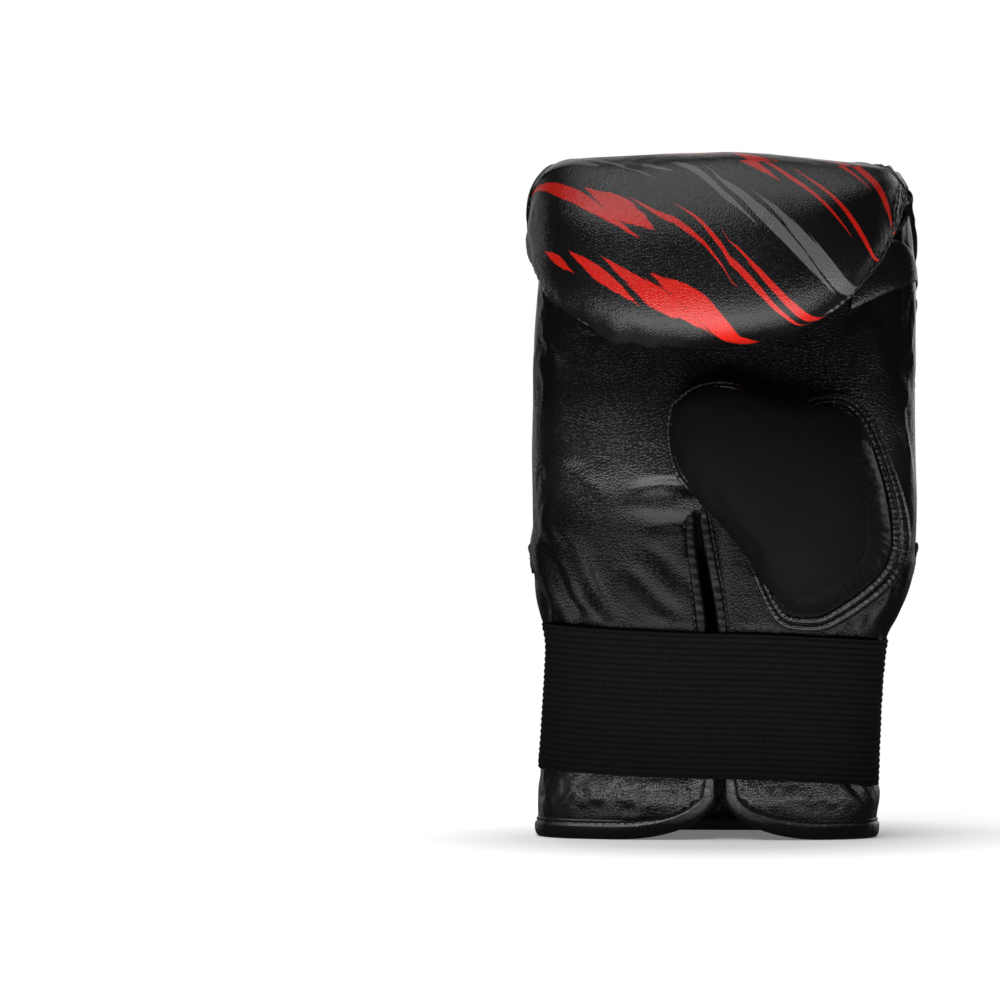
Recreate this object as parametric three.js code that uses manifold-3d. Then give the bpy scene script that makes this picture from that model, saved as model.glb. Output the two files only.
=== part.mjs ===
// A padded mitt for training on a heavy bag, for the right hand, standing on its cuff.
// The palm faces -Y, the back of the hand +Y, the fingertips +Z and the thumb is on the +X side.
// The origin is on the floor, under the middle of the mitt. Every length is in millimetres.
//
// One skin describes the whole mitt. It is a tube that rises from the cuff and, at the fingers,
// folds forwards over a fold line into the padded roll in front of the palm.
// Each panel is a patch of that skin with a wall of its own, so all of them follow the same sizes.
import * as THREE from "three";
import Module from "manifold-3d";

const wasm = await Module();
wasm.setup();

// Overall sizes
const bodyWidth = 153.4;
const bodyDepth = 73;
const palmDepth = 32;
const foldHeight = 205.5;
const hoodRise = 62;
const rollDepth = 41;
const foldSweep = 235;
const foldRiseOuter = 22;
const foldRiseThumb = 43;
const squareness = 3;

// Walls
const leather = 2.4;
const padThickness = 24;
const sidePad = 10;
const cuffWall = 4;
const gap = 0.3;
const clearance = 0.5;

// Cuff, binding, elastic and label
const cuffHeight = 112;
const cuffBandHeight = 12;
const cuffBandLap = 3;
const cuffBandThickness = 2.2;
const hemWidth = 8;
const slitBindingWidth = 5;
const bindingProud = 1.6;
const bindingThickness = 5;
const slitHeight = 128;
const slitLean = 9;
const slitGap = 2;
const flapCornerWidth = 38;
const flapCornerHeight = 17;
const elasticWidth = 56.5;
const elasticHeight = 23.8;
const elasticSlope = 6.6;
const elasticThickness = 2;
const labelWidth = 106;
const labelHeight = 81;
const labelThickness = 1.2;
const labelAbove = 17;
const labelShift = 4;

// Thumb
const thumbLength = 103;
const thumbWidth = 67;
const thumbHeight = 38;
const thumbWall = 4;
const thumbTilt = 30;
const thumbTipX = 21;
const thumbTipZ = 169.4;
const thumbLift = 0.8;
const thumbHoleLength = 34;
const thumbHoleWidth = 40;
const thumbHoleAlong = 0.3;
const thumbHoleOver = -0.1;
const thumbWidest = 0.38;
const thumbWeltDiameter = 3;
const thumbWeltStart = 0.5;
const thumbWeltGap = 0.8;
const flangeWidth = 7.4;
const flangeThickness = 4;
const flangeMargin = 4.6;
const flangeEnd = 0.46;

// Tuck of the palm's top edge under the fold line
const palmTuck = 3;

// The flap behind the lip at the thumb's side, between two stations and two shares of the half width
const gussetFrom = 0.9;
const gussetTo = 0.955;
const gussetInner = 0.8;
const gussetOuter = 0.97;
const gussetThickness = 2.4;

// Sections of the body. rise is a share of foldHeight, outer and thumb are half widths as shares of
// half of bodyWidth, depth and palm are shares of bodyDepth and palmDepth, fold says how much of the
// fold line's rise the section has, pad is a share of padThickness, seamOuter and seamThumb are where
// the side panels' seams run, as shares of the half width.
const bodySections = [
  { rise: 0.0, outer: 0.935, thumb: 0.8, depth: 0.89, palm: 0.97, fold: 0, pad: 0.3, seamOuter: 0.73, seamThumb: 0.64 },
  { rise: 0.13, outer: 0.93, thumb: 0.81, depth: 0.88, palm: 0.97, fold: 0, pad: 0.3, seamOuter: 0.73, seamThumb: 0.64 },
  { rise: 0.38, outer: 0.9, thumb: 0.857, depth: 0.87, palm: 0.97, fold: 0, pad: 0.3, seamOuter: 0.73, seamThumb: 0.64 },
  { rise: 0.46, outer: 0.925, thumb: 0.93, depth: 0.89, palm: 0.98, fold: 0, pad: 0.3, seamOuter: 0.73, seamThumb: 0.64 },
  { rise: 0.54, outer: 0.955, thumb: 0.975, depth: 0.93, palm: 1.0, fold: 0, pad: 0.4, seamOuter: 0.73, seamThumb: 0.64 },
  { rise: 0.61, outer: 0.962, thumb: 1.0, depth: 0.97, palm: 1.0, fold: 0.05, pad: 0.7, seamOuter: 0.74, seamThumb: 0.66 },
  { rise: 0.76, outer: 0.96, thumb: 1.0, depth: 1.0, palm: 1.0, fold: 0.3, pad: 1.0, seamOuter: 0.76, seamThumb: 0.7 },
  { rise: 0.88, outer: 0.955, thumb: 1.0, depth: 1.0, palm: 1.0, fold: 0.66, pad: 1.0, seamOuter: 0.77, seamThumb: 0.74 },
  { rise: 0.95, outer: 0.95, thumb: 0.982, depth: 0.985, palm: 1.0, fold: 0.86, pad: 1.0, seamOuter: 0.775, seamThumb: 0.76 },
  { rise: 1.0, outer: 0.945, thumb: 0.955, depth: 0.965, palm: 1.0, fold: 1, pad: 1.0, seamOuter: 0.78, seamThumb: 0.78 },
];

// Sections of the hood, fanned about the fold line. turn is in degrees from the back, bulge scales
// the reach, outerSquare and thumbSquare are the exponents of each side's roundness, seam is where
// both side panels' seams run, as a share of the half width.
const hoodSections = [
  { turn: 0, bulge: 1.0, outer: 0.945, thumb: 0.955, outerSquare: 3.0, thumbSquare: 3.0, pad: 1.0, seam: 0.78 },
  { turn: 20, bulge: 1.045, outer: 0.955, thumb: 0.95, outerSquare: 3.05, thumbSquare: 2.6, pad: 1.0, seam: 0.78 },
  { turn: 42, bulge: 1.115, outer: 0.965, thumb: 0.945, outerSquare: 3.1, thumbSquare: 2.15, pad: 1.0, seam: 0.79 },
  { turn: 62, bulge: 1.1, outer: 0.98, thumb: 0.94, outerSquare: 3.1, thumbSquare: 1.85, pad: 0.98, seam: 0.83 },
  { turn: 90, bulge: 1.0, outer: 0.995, thumb: 0.94, outerSquare: 3.1, thumbSquare: 1.78, pad: 0.92, seam: 0.935 },
  { turn: 112, bulge: 1.05, outer: 1.0, thumb: 0.94, outerSquare: 3.0, thumbSquare: 1.85, pad: 0.88, seam: 0.992 },
  { turn: 135, bulge: 1.11, outer: 1.0, thumb: 0.94, outerSquare: 2.9, thumbSquare: 2.0, pad: 0.84, seam: 1 },
  { turn: 158, bulge: 1.05, outer: 1.0, thumb: 0.94, outerSquare: 2.8, thumbSquare: 2.2, pad: 0.8, seam: 1 },
  { turn: 180, bulge: 1.0, outer: 0.995, thumb: 0.94, outerSquare: 2.8, thumbSquare: 2.4, pad: 0.78, seam: 1 },
  { turn: 196, bulge: 0.88, outer: 0.985, thumb: 0.935, outerSquare: 2.8, thumbSquare: 2.6, pad: 0.75, seam: 1 },
  { turn: 212, bulge: 0.64, outer: 0.97, thumb: 0.93, outerSquare: 2.8, thumbSquare: 2.7, pad: 0.66, seam: 1 },
  { turn: 225, bulge: 0.4, outer: 0.955, thumb: 0.92, outerSquare: 2.8, thumbSquare: 2.7, pad: 0.42, seam: 1 },
  { turn: 235, bulge: 0.22, outer: 0.945, thumb: 0.91, outerSquare: 2.8, thumbSquare: 2.7, pad: 0.2, seam: 1 },
];

// Sections of the thumb from its root to its tip. along is a share of thumbLength, upper and lower
// are shares of thumbWidth to each side of its axis, front is a share of thumbHeight, rest is the
// back's height over the palm in thumbLifts.
const thumbSections = [
  { along: 0.0, upper: -0.17, lower: 0.28, front: 0.16, rest: 1 },
  { along: 0.02, upper: -0.045, lower: 0.37, front: 0.34, rest: 1 },
  { along: 0.05, upper: 0.045, lower: 0.46, front: 0.5, rest: 1 },
  { along: 0.1, upper: 0.13, lower: 0.58, front: 0.66, rest: 1 },
  { along: 0.17, upper: 0.25, lower: 0.655, front: 0.81, rest: 1 },
  { along: 0.25, upper: 0.365, lower: 0.67, front: 0.92, rest: 1 },
  { along: 0.35, upper: 0.46, lower: 0.62, front: 0.99, rest: 1 },
  { along: 0.46, upper: 0.45, lower: 0.54, front: 1.0, rest: 1 },
  { along: 0.58, upper: 0.405, lower: 0.48, front: 1.0, rest: 1.2 },
  { along: 0.71, upper: 0.365, lower: 0.435, front: 0.97, rest: 1.6 },
  { along: 0.83, upper: 0.32, lower: 0.37, front: 0.9, rest: 2 },
  { along: 0.91, upper: 0.265, lower: 0.28, front: 0.8, rest: 2.5 },
  { along: 0.97, upper: 0.17, lower: 0.165, front: 0.68, rest: 3.5 },
  { along: 1.0, upper: 0.05, lower: 0.05, front: 0.52, rest: 6 },
];

// The slit of the palm. rise is a share of slitHeight, lean of slitLean, open of slitGap.
const slitSections = [
  { rise: 0.16, lean: 0.05, open: 0.9 },
  { rise: 0.3, lean: 0.1, open: 0.9 },
  { rise: 0.5, lean: 0.25, open: 1.0 },
  { rise: 0.68, lean: 0.45, open: 1.0 },
  { rise: 0.84, lean: 0.8, open: 0.8 },
  { rise: 0.94, lean: 1.0, open: 0.5 },
  { rise: 1.0, lean: 1.05, open: 0.16 },
];

const radians = THREE.MathUtils.degToRad;
const halfWidth = bodyWidth / 2;
const lowestFold = -0.33;
const poleCrown = 0.05;
const seamGap = gap / halfWidth;
const sideTrim = 0.2;

// A smooth curve through a table: the row at a value of one column.
function rowAt(rows, key, at) {
  const last = rows.length - 1;
  const above = rows.findIndex((row) => row[key] > at);
  const k = above === -1 ? last - 1 : Math.max(0, above - 1);
  const before = rows[Math.max(0, k - 1)];
  const from = rows[k];
  const to = rows[k + 1];
  const after = rows[Math.min(last, k + 2)];
  const span = to[key] - from[key];
  const t = THREE.MathUtils.clamp((at - from[key]) / span, 0, 1);
  const blend = (name) => {
    const startSlope = ((to[name] - before[name]) / (to[key] - before[key])) * span;
    const endSlope = ((after[name] - from[name]) / (after[key] - from[key])) * span;
    return (
      (2 * t ** 3 - 3 * t ** 2 + 1) * from[name] +
      (t ** 3 - 2 * t ** 2 + t) * startSlope +
      (3 * t ** 2 - 2 * t ** 3) * to[name] +
      (t ** 3 - t ** 2) * endSlope
    );
  };
  return Object.fromEntries(Object.keys(from).map((name) => [name, blend(name)]));
}

// How far the hood reaches from the fold line at a turn, in the middle of the mitt.
function hoodReach(turn, bulge) {
  const depth = turn < 90 ? bodyDepth * bodySections.at(-1).depth : rollDepth;
  const rise = turn < 180 ? hoodRise : rollDepth;
  const angle = radians(turn);
  return bulge / Math.hypot(Math.cos(angle) / depth, Math.sin(angle) / rise);
}

// The plane of the side seams lies where the mitt's back and front are equally far from Y = 0.
const backReach = Math.max(...bodySections.map((s) => bodyDepth * s.depth - palmDepth * s.palm));
const frontReach = Math.max(
  ...hoodSections.map((s) => palmDepth - hoodReach(s.turn, s.bulge) * Math.cos(radians(s.turn))),
);
const sideY = (frontReach - backReach) / 2;

// A station of the skin: 0 to 1 climbs the body, 1 to 2 turns over the hood to the roll's lip.
function station(v) {
  if (v <= 1) {
    const s = rowAt(bodySections, "rise", v);
    return {
      base: v * foldHeight,
      turn: 0,
      reach: bodyDepth * s.depth,
      palm: palmDepth * s.palm,
      outer: halfWidth * s.outer,
      thumb: halfWidth * s.thumb,
      outerSquare: squareness,
      thumbSquare: squareness,
      fold: s.fold,
      pad: padThickness * s.pad,
      seamOuter: s.seamOuter,
      seamThumb: s.seamThumb,
    };
  }
  const s = rowAt(hoodSections, "turn", (v - 1) * foldSweep);
  return {
    base: foldHeight,
    turn: radians(s.turn),
    reach: hoodReach(s.turn, s.bulge),
    palm: palmDepth,
    outer: halfWidth * s.outer,
    thumb: halfWidth * s.thumb,
    outerSquare: s.outerSquare,
    thumbSquare: s.thumbSquare,
    fold: 1,
    pad: padThickness * s.pad,
    seamOuter: s.seam,
    seamThumb: s.seam,
  };
}

// The crown of a superellipse at a share of its half width.
function crownAt(share, square) {
  return Math.max(0, 1 - Math.abs(share) ** square) ** (1 / square);
}

// The angle across the mitt at which a side reaches a share of its half width.
function angleAt(share, square) {
  return Math.acos(Math.min(1, share ** (square / 2)));
}

// How much higher the fold line lies at a share of the half width.
function foldRise(share) {
  return share < lowestFold
    ? foldRiseOuter * ((lowestFold - share) / (1 + lowestFold)) ** 2.2
    : foldRiseThumb * ((share - lowestFold) / (1 - lowestFold)) ** 3.5;
}

// A point of the back, over the hood and down to the lip. across runs from 0 on the thumb's side
// to pi on the outer side. inset goes into the mitt, sideInset is the same at its sides.
function backPoint(v, across, inset = 0, sideInset = inset) {
  const s = station(v);
  const onThumbSide = across < Math.PI / 2;
  const square = onThumbSide ? s.thumbSquare : s.outerSquare;
  const share = Math.abs(Math.cos(across)) ** (2 / square) * (onThumbSide ? 1 : -1);
  const crown = Math.abs(Math.sin(across)) ** (2 / square);
  const reach = (s.reach - inset) * crown;
  return new THREE.Vector3(
    share * ((onThumbSide ? s.thumb : s.outer) - sideInset),
    sideY + gap / 2 - s.palm * crownAt(share, squareness) + reach * Math.cos(s.turn),
    s.base + s.fold * foldRise(share) + reach * Math.sin(s.turn),
  );
}

// A point of the palm side, with the same angle across.
function palmPoint(v, across, inset = 0) {
  const s = station(v);
  const onThumbSide = across < Math.PI / 2;
  const share = Math.abs(Math.cos(across)) ** (2 / squareness) * (onThumbSide ? 1 : -1);
  const crown = Math.abs(Math.sin(across)) ** (2 / squareness);
  return new THREE.Vector3(
    share * ((onThumbSide ? s.thumb : s.outer) - inset),
    sideY - gap / 2 - (s.palm - inset) * crown,
    s.base + s.fold * foldRise(share),
  );
}

// The station, and the share of the half width, at a place of the palm in front view.
function palmPlace(x, z) {
  let low = 0;
  let high = 1;
  let share = 0;
  for (let i = 0; i < 24; i++) {
    const v = (low + high) / 2;
    const s = station(v);
    share = THREE.MathUtils.clamp(x / (x < 0 ? s.outer : s.thumb), -1, 1);
    if (s.base + s.fold * foldRise(share) < z) low = v;
    else high = v;
  }
  return { v: low, share };
}

// The angle across the palm at a place in front view.
function palmAngle(x, z) {
  const angle = angleAt(Math.abs(palmPlace(x, z).share), squareness);
  return x < 0 ? Math.PI - angle : angle;
}

// The palm's surface at a place in front view, moved out along its level normal.
function palmAt(x, z, out = 0) {
  const { v, share } = palmPlace(x, z);
  const y = sideY - gap / 2 - station(v).palm * crownAt(share, squareness);
  return new THREE.Vector3(x, y, z).addScaledVector(palmNormal(x, z), out);
}

// The level normal of the palm's surface at a place in front view.
function palmNormal(x, z) {
  const angle = palmAngle(x, z);
  const { v } = palmPlace(x, z);
  const step = 0.02;
  const a = palmPoint(v, Math.max(0, angle - step));
  const b = palmPoint(v, Math.min(Math.PI, angle + step));
  return new THREE.Vector3(b.y - a.y, a.x - b.x, 0).normalize().negate();
}

// The level normal of the cuff's back at an angle across.
function backNormal(v, across) {
  const step = 0.02;
  const a = backPoint(v, Math.max(0, across - step));
  const b = backPoint(v, Math.min(Math.PI, across + step));
  return new THREE.Vector3(b.y - a.y, a.x - b.x, 0).normalize();
}

// Evenly spaced values, and values that crowd towards both ends.
function evenly(from, to, steps) {
  return Array.from({ length: steps + 1 }, (_, i) => from + ((to - from) * i) / steps);
}

function crowded(from, to, steps) {
  const ease = (t) => (1 - Math.cos(Math.PI * t)) / 2;
  return evenly(0, 1, steps).map((t) => from + (to - from) * ease(t));
}

// Indexed triangles with their faces turned outwards.
function meshOf(points, triangles) {
  const at = points.flatMap((p) => p.toArray());
  const volume = triangles.reduce((sum, [a, b, c]) => {
    const cross = new THREE.Vector3().crossVectors(points[b], points[c]);
    return sum + points[a].dot(cross);
  }, 0);
  const facing = volume < 0 ? triangles.map(([a, b, c]) => [a, c, b]) : triangles;
  const geometry = new THREE.BufferGeometry();
  geometry.setAttribute("position", new THREE.Float32BufferAttribute(at, 3));
  geometry.setIndex(facing.flat());
  return geometry;
}

// A closed wall between two surfaces sampled on the same grid of rows and columns.
function wallBetween(outside, inside) {
  const rows = outside.length;
  const columns = outside[0].length;
  const points = [...outside.flat(), ...inside.flat()];
  const out = (i, j) => i * columns + j;
  const inn = (i, j) => rows * columns + out(i, j);
  const triangles = [];
  const quad = (a, b, c, d) => triangles.push([a, b, c], [a, c, d]);
  for (let i = 0; i < rows - 1; i++) {
    for (let j = 0; j < columns - 1; j++) {
      quad(out(i, j), out(i, j + 1), out(i + 1, j + 1), out(i + 1, j));
      quad(inn(i, j), inn(i + 1, j), inn(i + 1, j + 1), inn(i, j + 1));
    }
    const last = columns - 1;
    quad(out(i, 0), out(i + 1, 0), inn(i + 1, 0), inn(i, 0));
    quad(out(i, last), inn(i, last), inn(i + 1, last), out(i + 1, last));
  }
  for (let j = 0; j < columns - 1; j++) {
    const last = rows - 1;
    quad(out(0, j), inn(0, j), inn(0, j + 1), out(0, j + 1));
    quad(out(last, j), out(last, j + 1), inn(last, j + 1), inn(last, j));
  }
  return meshOf(points, triangles);
}

// A closed solid through rings of points, with a flat fan over each end.
function loft(rings) {
  const count = rings[0].length;
  const points = rings.flat();
  const triangles = [];
  for (let i = 0; i < rings.length - 1; i++) {
    for (let j = 0; j < count; j++) {
      const next = (j + 1) % count;
      const [a, b] = [i * count + j, i * count + next];
      triangles.push([a, b, b + count], [a, b + count, a + count]);
    }
  }
  const endFan = (start, reversed) => {
    for (let j = 1; j < count - 1; j++) {
      const [b, c] = [start + j, start + j + 1];
      triangles.push(reversed ? [start, c, b] : [start, b, c]);
    }
  };
  endFan(0, true);
  endFan((rings.length - 1) * count, false);
  return meshOf(points, triangles);
}

// A strip with chamfered outer corners, swept along a path over the mitt.
// Each place has a point, the level normal there and the strip's width; low and high are its
// heights along the normal.
function strip(places, low, high) {
  const chamfer = Math.min(1, (high - low) / 3);
  const rings = places.map((place, i) => {
    const before = places[Math.max(0, i - 1)].point;
    const after = places[Math.min(places.length - 1, i + 1)].point;
    const side = new THREE.Vector3()
      .subVectors(after, before)
      .cross(place.normal)
      .normalize();
    const half = place.width / 2;
    const corners = [
      [-half, low],
      [-half, high - chamfer],
      [-half + chamfer, high],
      [half - chamfer, high],
      [half, high - chamfer],
      [half, low],
    ];
    return corners.map(([across, up]) =>
      place.point.clone().addScaledVector(side, across).addScaledVector(place.normal, up),
    );
  });
  return loft(rings);
}

// Booleans
function solidOf(geometry) {
  return new wasm.Manifold(
    new wasm.Mesh({
      numProp: 3,
      vertProperties: new Float32Array(geometry.attributes.position.array),
      triVerts: new Uint32Array(geometry.index.array),
    }),
  );
}

function cut(geometry, ...cutters) {
  const left = cutters.reduce((solid, cutter) => solid.subtract(solidOf(cutter)), solidOf(geometry));
  const mesh = left.getMesh();
  const made = new THREE.BufferGeometry();
  made.setAttribute("position", new THREE.Float32BufferAttribute(mesh.vertProperties, 3));
  made.setIndex(new THREE.BufferAttribute(mesh.triVerts, 1));
  return made;
}

// Stations shared by the back pad and both side panels, so that their seams run side by side.
const padStart = (cuffHeight + gap) / foldHeight;
const stripEndTurn = 106;
const stripEnd = 1 + stripEndTurn / foldSweep;
const bodyStations = evenly(padStart, 1, 9);
const overStations = evenly(1, stripEnd, 8);
const rollStations = evenly(stripEnd, 2, 11);

// Close to the fold line's ends the panels stop at a small crown, so that they don't run to a point.
function sideAngle(v, square) {
  const start = 0.85;
  const share = THREE.MathUtils.clamp((v - start) / (1 - start), 0, 1);
  return Math.asin(poleCrown ** (square / 2)) * share;
}

// The back pad's edge on either side, between the side panels and then out to the fold line.
function seamAngle(v, side) {
  const s = station(v);
  const square = side === "thumb" ? s.thumbSquare : s.outerSquare;
  const seam = side === "thumb" ? s.seamThumb : s.seamOuter;
  return v > stripEnd ? sideAngle(v, square) : angleAt(seam, square);
}

// How thick the back's padding is at a place, full in the middle and thin towards its side seams.
function padInset(v, across) {
  const s = station(v);
  const thin = Math.min(sidePad, s.pad);
  const onThumbSide = across < Math.PI / 2;
  const seam = seamAngle(v, onThumbSide ? "thumb" : "outer");
  const angle = onThumbSide ? across : Math.PI - across;
  return THREE.MathUtils.lerp(thin, s.pad, THREE.MathUtils.smoothstep(angle, seam, Math.PI / 2));
}

// A wall of the back between two angles across at each station. trim takes a share off its last row.
function backWall(stations, anglesAt, trim = 0) {
  const grid = (isInside) => {
    const rows = stations.map((v) =>
      anglesAt(v).map((across) => {
        if (!isInside) return backPoint(v, across);
        return backPoint(v, across, padInset(v, across), Math.min(sidePad, station(v).pad));
      }),
    );
    rows.at(-1).forEach((point, j) => point.lerp(rows.at(-2)[j], trim));
    return rows;
  };
  return wallBetween(grid(false), grid(true));
}

// The padded striking panel: back, hood and roll in one.
function backPad() {
  const stations = [...bodyStations, ...overStations.slice(1), ...rollStations.slice(1)];
  return backWall(stations, (v) => {
    const from = seamAngle(v, "thumb") + seamGap;
    const to = Math.PI - seamAngle(v, "outer") - seamGap;
    return crowded(from, to, 22);
  });
}

// A side panel, from the side seam to the back pad's seam.
function sidePanel(side) {
  const anglesAt = (v) => {
    const s = station(v);
    const from = sideAngle(v, side === "thumb" ? s.thumbSquare : s.outerSquare);
    const angles = evenly(from, seamAngle(v, side) - seamGap, 6);
    return side === "thumb" ? angles : angles.map((angle) => Math.PI - angle);
  };
  return backWall([...bodyStations, ...overStations.slice(1)], anglesAt, sideTrim);
}

// The bound edge of one flap of the palm in front view, from the slit's top to the level hem,
// moved into the leather by a distance. sign is -1 for the outer flap, 1 for the thumb's flap.
function flapEdge(sign, into) {
  const foot = slitSections[0];
  const edge = [];
  for (const s of [...slitSections].reverse()) {
    edge.push([sign * s.open * slitGap - s.lean * slitLean, s.rise * slitHeight]);
  }
  const footX = sign * foot.open * slitGap - foot.lean * slitLean;
  for (const turn of evenly(0, Math.PI / 2, 7)) {
    const x = footX + sign * flapCornerWidth * (1 - Math.cos(turn));
    edge.push([x, flapCornerHeight * (1 - Math.sin(turn))]);
  }
  return edge.map(([x, z], i) => {
    const [ax, az] = edge[Math.max(0, i - 1)];
    const [bx, bz] = edge[Math.min(edge.length - 1, i + 1)];
    const long = Math.hypot(bx - ax, bz - az);
    const shift = typeof into === "function" ? into(z) : into;
    return [x - (sign * shift * (bz - az)) / long, z + (sign * shift * (bx - ax)) / long];
  });
}

// The binding is narrow beside the slit and as wide as the hem below it.
function bindingWidth(z) {
  const share = THREE.MathUtils.smoothstep(z, flapCornerHeight / 2, flapCornerHeight * 1.6);
  return THREE.MathUtils.lerp(hemWidth, slitBindingWidth, share);
}

// One binding strip: down one side of the slit, round the whole hem and up the slit's other side.
function hemBinding() {
  const v = hemWidth / 2 / foldHeight;
  const flap = (sign) =>
    flapEdge(sign, (z) => bindingWidth(z) / 2).map(([x, z]) => ({
      point: palmAt(x, z),
      normal: palmNormal(x, z),
      width: bindingWidth(z),
    }));
  const left = flap(-1);
  const right = flap(1).reverse();
  const hemEnd = (places, i) => palmAngle(places.at(i).point.x, hemWidth / 2);
  const palmRun = (from, to) =>
    crowded(from, to, 12)
      .slice(1, -1)
      .map((across) => {
        const point = palmPoint(v, across);
        return { point, normal: palmNormal(point.x, point.z), width: hemWidth };
      });
  const backRun = crowded(Math.PI, 0, 24).map((across) => {
    const point = backPoint(v, across);
    return { point, normal: backNormal(v, across), width: hemWidth };
  });
  const places = [
    ...left,
    ...palmRun(hemEnd(left, -1), Math.PI),
    ...backRun,
    ...palmRun(0, hemEnd(right, 0)),
    ...right,
  ];
  return strip(places, bindingProud - bindingThickness, bindingProud);
}

// A prism along Y through a front view outline.
function prism(outline, fromY, toY) {
  return loft([fromY, toY].map((y) => outline.map(([x, z]) => new THREE.Vector3(x, y, z))));
}

// The opening that the slit and its binding take out of the palm.
function slitCutter() {
  const into = (z) => bindingWidth(z) + gap;
  const left = flapEdge(-1, into);
  const right = flapEdge(1, into);
  const below = -hemWidth;
  const outline = [
    ...left,
    [left.at(-1)[0], below],
    [right.at(-1)[0], below],
    ...right.reverse(),
  ];
  return prism(outline, sideY - 2 * palmDepth, sideY - palmDepth / 2);
}

// The thumb's own axes in front view: along runs from the root to the tip, over is to its upper side.
const thumbAlong = [-Math.cos(radians(thumbTilt)), Math.sin(radians(thumbTilt))];
const thumbOver = [Math.sin(radians(thumbTilt)), Math.cos(radians(thumbTilt))];

function thumbPlace(along, over, height) {
  const back = along - thumbLength;
  const x = -thumbTipX + back * thumbAlong[0] + over * thumbOver[0];
  const z = thumbTipZ + back * thumbAlong[1] + over * thumbOver[1];
  return palmAt(x, z, height);
}

// The thumb's outer form, or its hollow where wall is its thickness.
function thumbForm(wall = 0) {
  const roundness = 2.3;
  const rootCut = wall / thumbLength;
  const stations = thumbSections
    .map((s) => s.along)
    .filter((along) => along >= rootCut && along <= 1 - rootCut);
  if (wall) stations.unshift(rootCut);
  if (wall) stations.push(1 - rootCut);
  const rings = stations.map((share) => {
    const s = rowAt(thumbSections, "along", share);
    const middle = ((s.upper - s.lower) / 2) * thumbWidth;
    const half = Math.max(1, ((s.upper + s.lower) / 2) * thumbWidth - wall);
    const front = Math.max(2, thumbHeight * s.front - wall);
    const back = Math.min(thumbLift * s.rest + wall / 2, front - 1);
    const widest = THREE.MathUtils.lerp(back, front, thumbWidest);
    return evenly(0, 2 * Math.PI, 26)
      .slice(1)
      .map((angle) => {
        const [c, d] = [Math.cos(angle), Math.sin(angle)];
        const over = middle + half * Math.sign(c) * Math.abs(c) ** (2 / roundness);
        const swell = Math.sign(d) * Math.abs(d) ** (2 / roundness);
        const height = widest + swell * (d > 0 ? front - widest : widest - back);
        return thumbPlace(share * thumbLength, over, height);
      });
  });
  return loft(rings);
}

// The thumb's way in, through its back wall and the palm.
function thumbHole() {
  const outline = evenly(0, 2 * Math.PI, 20)
    .slice(1)
    .map((angle) => {
      const along = thumbHoleAlong * thumbLength + (thumbHoleLength / 2) * Math.cos(angle);
      const over = thumbHoleOver * thumbWidth + (thumbHoleWidth / 2) * Math.sin(angle);
      const at = thumbPlace(along, over, 0);
      return [at.x, at.z];
    });
  return prism(outline, sideY - palmDepth - thumbHeight / 3, sideY);
}

// The piping in the seam round the thumb's tip.
function thumbWelt() {
  const out = thumbWeltDiameter / 2 + thumbWeltGap;
  const edge = (share, sign) => {
    const s = rowAt(thumbSections, "along", share);
    const half = sign > 0 ? s.upper : -s.lower;
    return [share * thumbLength, half * thumbWidth, share];
  };
  const shares = evenly(thumbWeltStart, 1, 9);
  const run = [
    ...shares.map((share) => edge(share, 1)),
    ...[...shares].reverse().map((share) => edge(share, -1)),
  ];
  const path = run.map(([along, over, share], i) => {
    const before = run[Math.max(0, i - 1)];
    const after = run[Math.min(run.length - 1, i + 1)];
    const [da, db] = [after[0] - before[0], after[1] - before[1]];
    const long = Math.hypot(da, db);
    const s = rowAt(thumbSections, "along", share);
    const back = thumbLift * s.rest;
    const height = THREE.MathUtils.lerp(back, thumbHeight * s.front, thumbWidest);
    return thumbPlace(along - (out * db) / long, over + (out * da) / long, height);
  });
  const rings = path.map((point, i) => {
    const before = path[Math.max(0, i - 1)];
    const after = path[Math.min(path.length - 1, i + 1)];
    const ahead = new THREE.Vector3().subVectors(after, before).normalize();
    const up = palmNormal(point.x, point.z);
    const side = new THREE.Vector3().crossVectors(ahead, up).normalize();
    up.crossVectors(side, ahead).normalize();
    return evenly(0, 2 * Math.PI, 8)
      .slice(1)
      .map((angle) =>
        point
          .clone()
          .addScaledVector(side, (thumbWeltDiameter / 2) * Math.cos(angle))
          .addScaledVector(up, (thumbWeltDiameter / 2) * Math.sin(angle)),
      );
  });
  return loft(rings);
}

// The stitched flange that joins the thumb's root to the palm, open towards the thumb's tip.
function thumbFlange() {
  const out = flangeMargin;
  const edge = (s, sign) => [s.along * thumbLength, (sign > 0 ? s.upper : -s.lower) * thumbWidth];
  const root = thumbSections.filter((s) => s.along <= flangeEnd);
  const run = [...root.map((s) => edge(s, 1)).reverse(), ...root.map((s) => edge(s, -1))];
  const places = run.map(([along, over], i) => {
    const before = run[Math.max(0, i - 1)];
    const after = run[Math.min(run.length - 1, i + 1)];
    const [da, db] = [after[0] - before[0], after[1] - before[1]];
    const long = Math.hypot(da, db);
    const point = thumbPlace(along + (out * db) / long, over - (out * da) / long, 0);
    return { point, normal: palmNormal(point.x, point.z), width: flangeWidth };
  });
  return strip(places, clearance, clearance + flangeThickness);
}

// The flap that closes the roll's end on the thumb's side, lying over the palm's edge.
function fingerGusset() {
  const angles = evenly(angleAt(gussetOuter, squareness), angleAt(gussetInner, squareness), 6);
  const grid = (out) =>
    evenly(gussetFrom, gussetTo, 6).map((v) => angles.map((a) => palmPoint(v, a, -out)));
  return wallBetween(grid(clearance + gussetThickness), grid(clearance));
}

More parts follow.
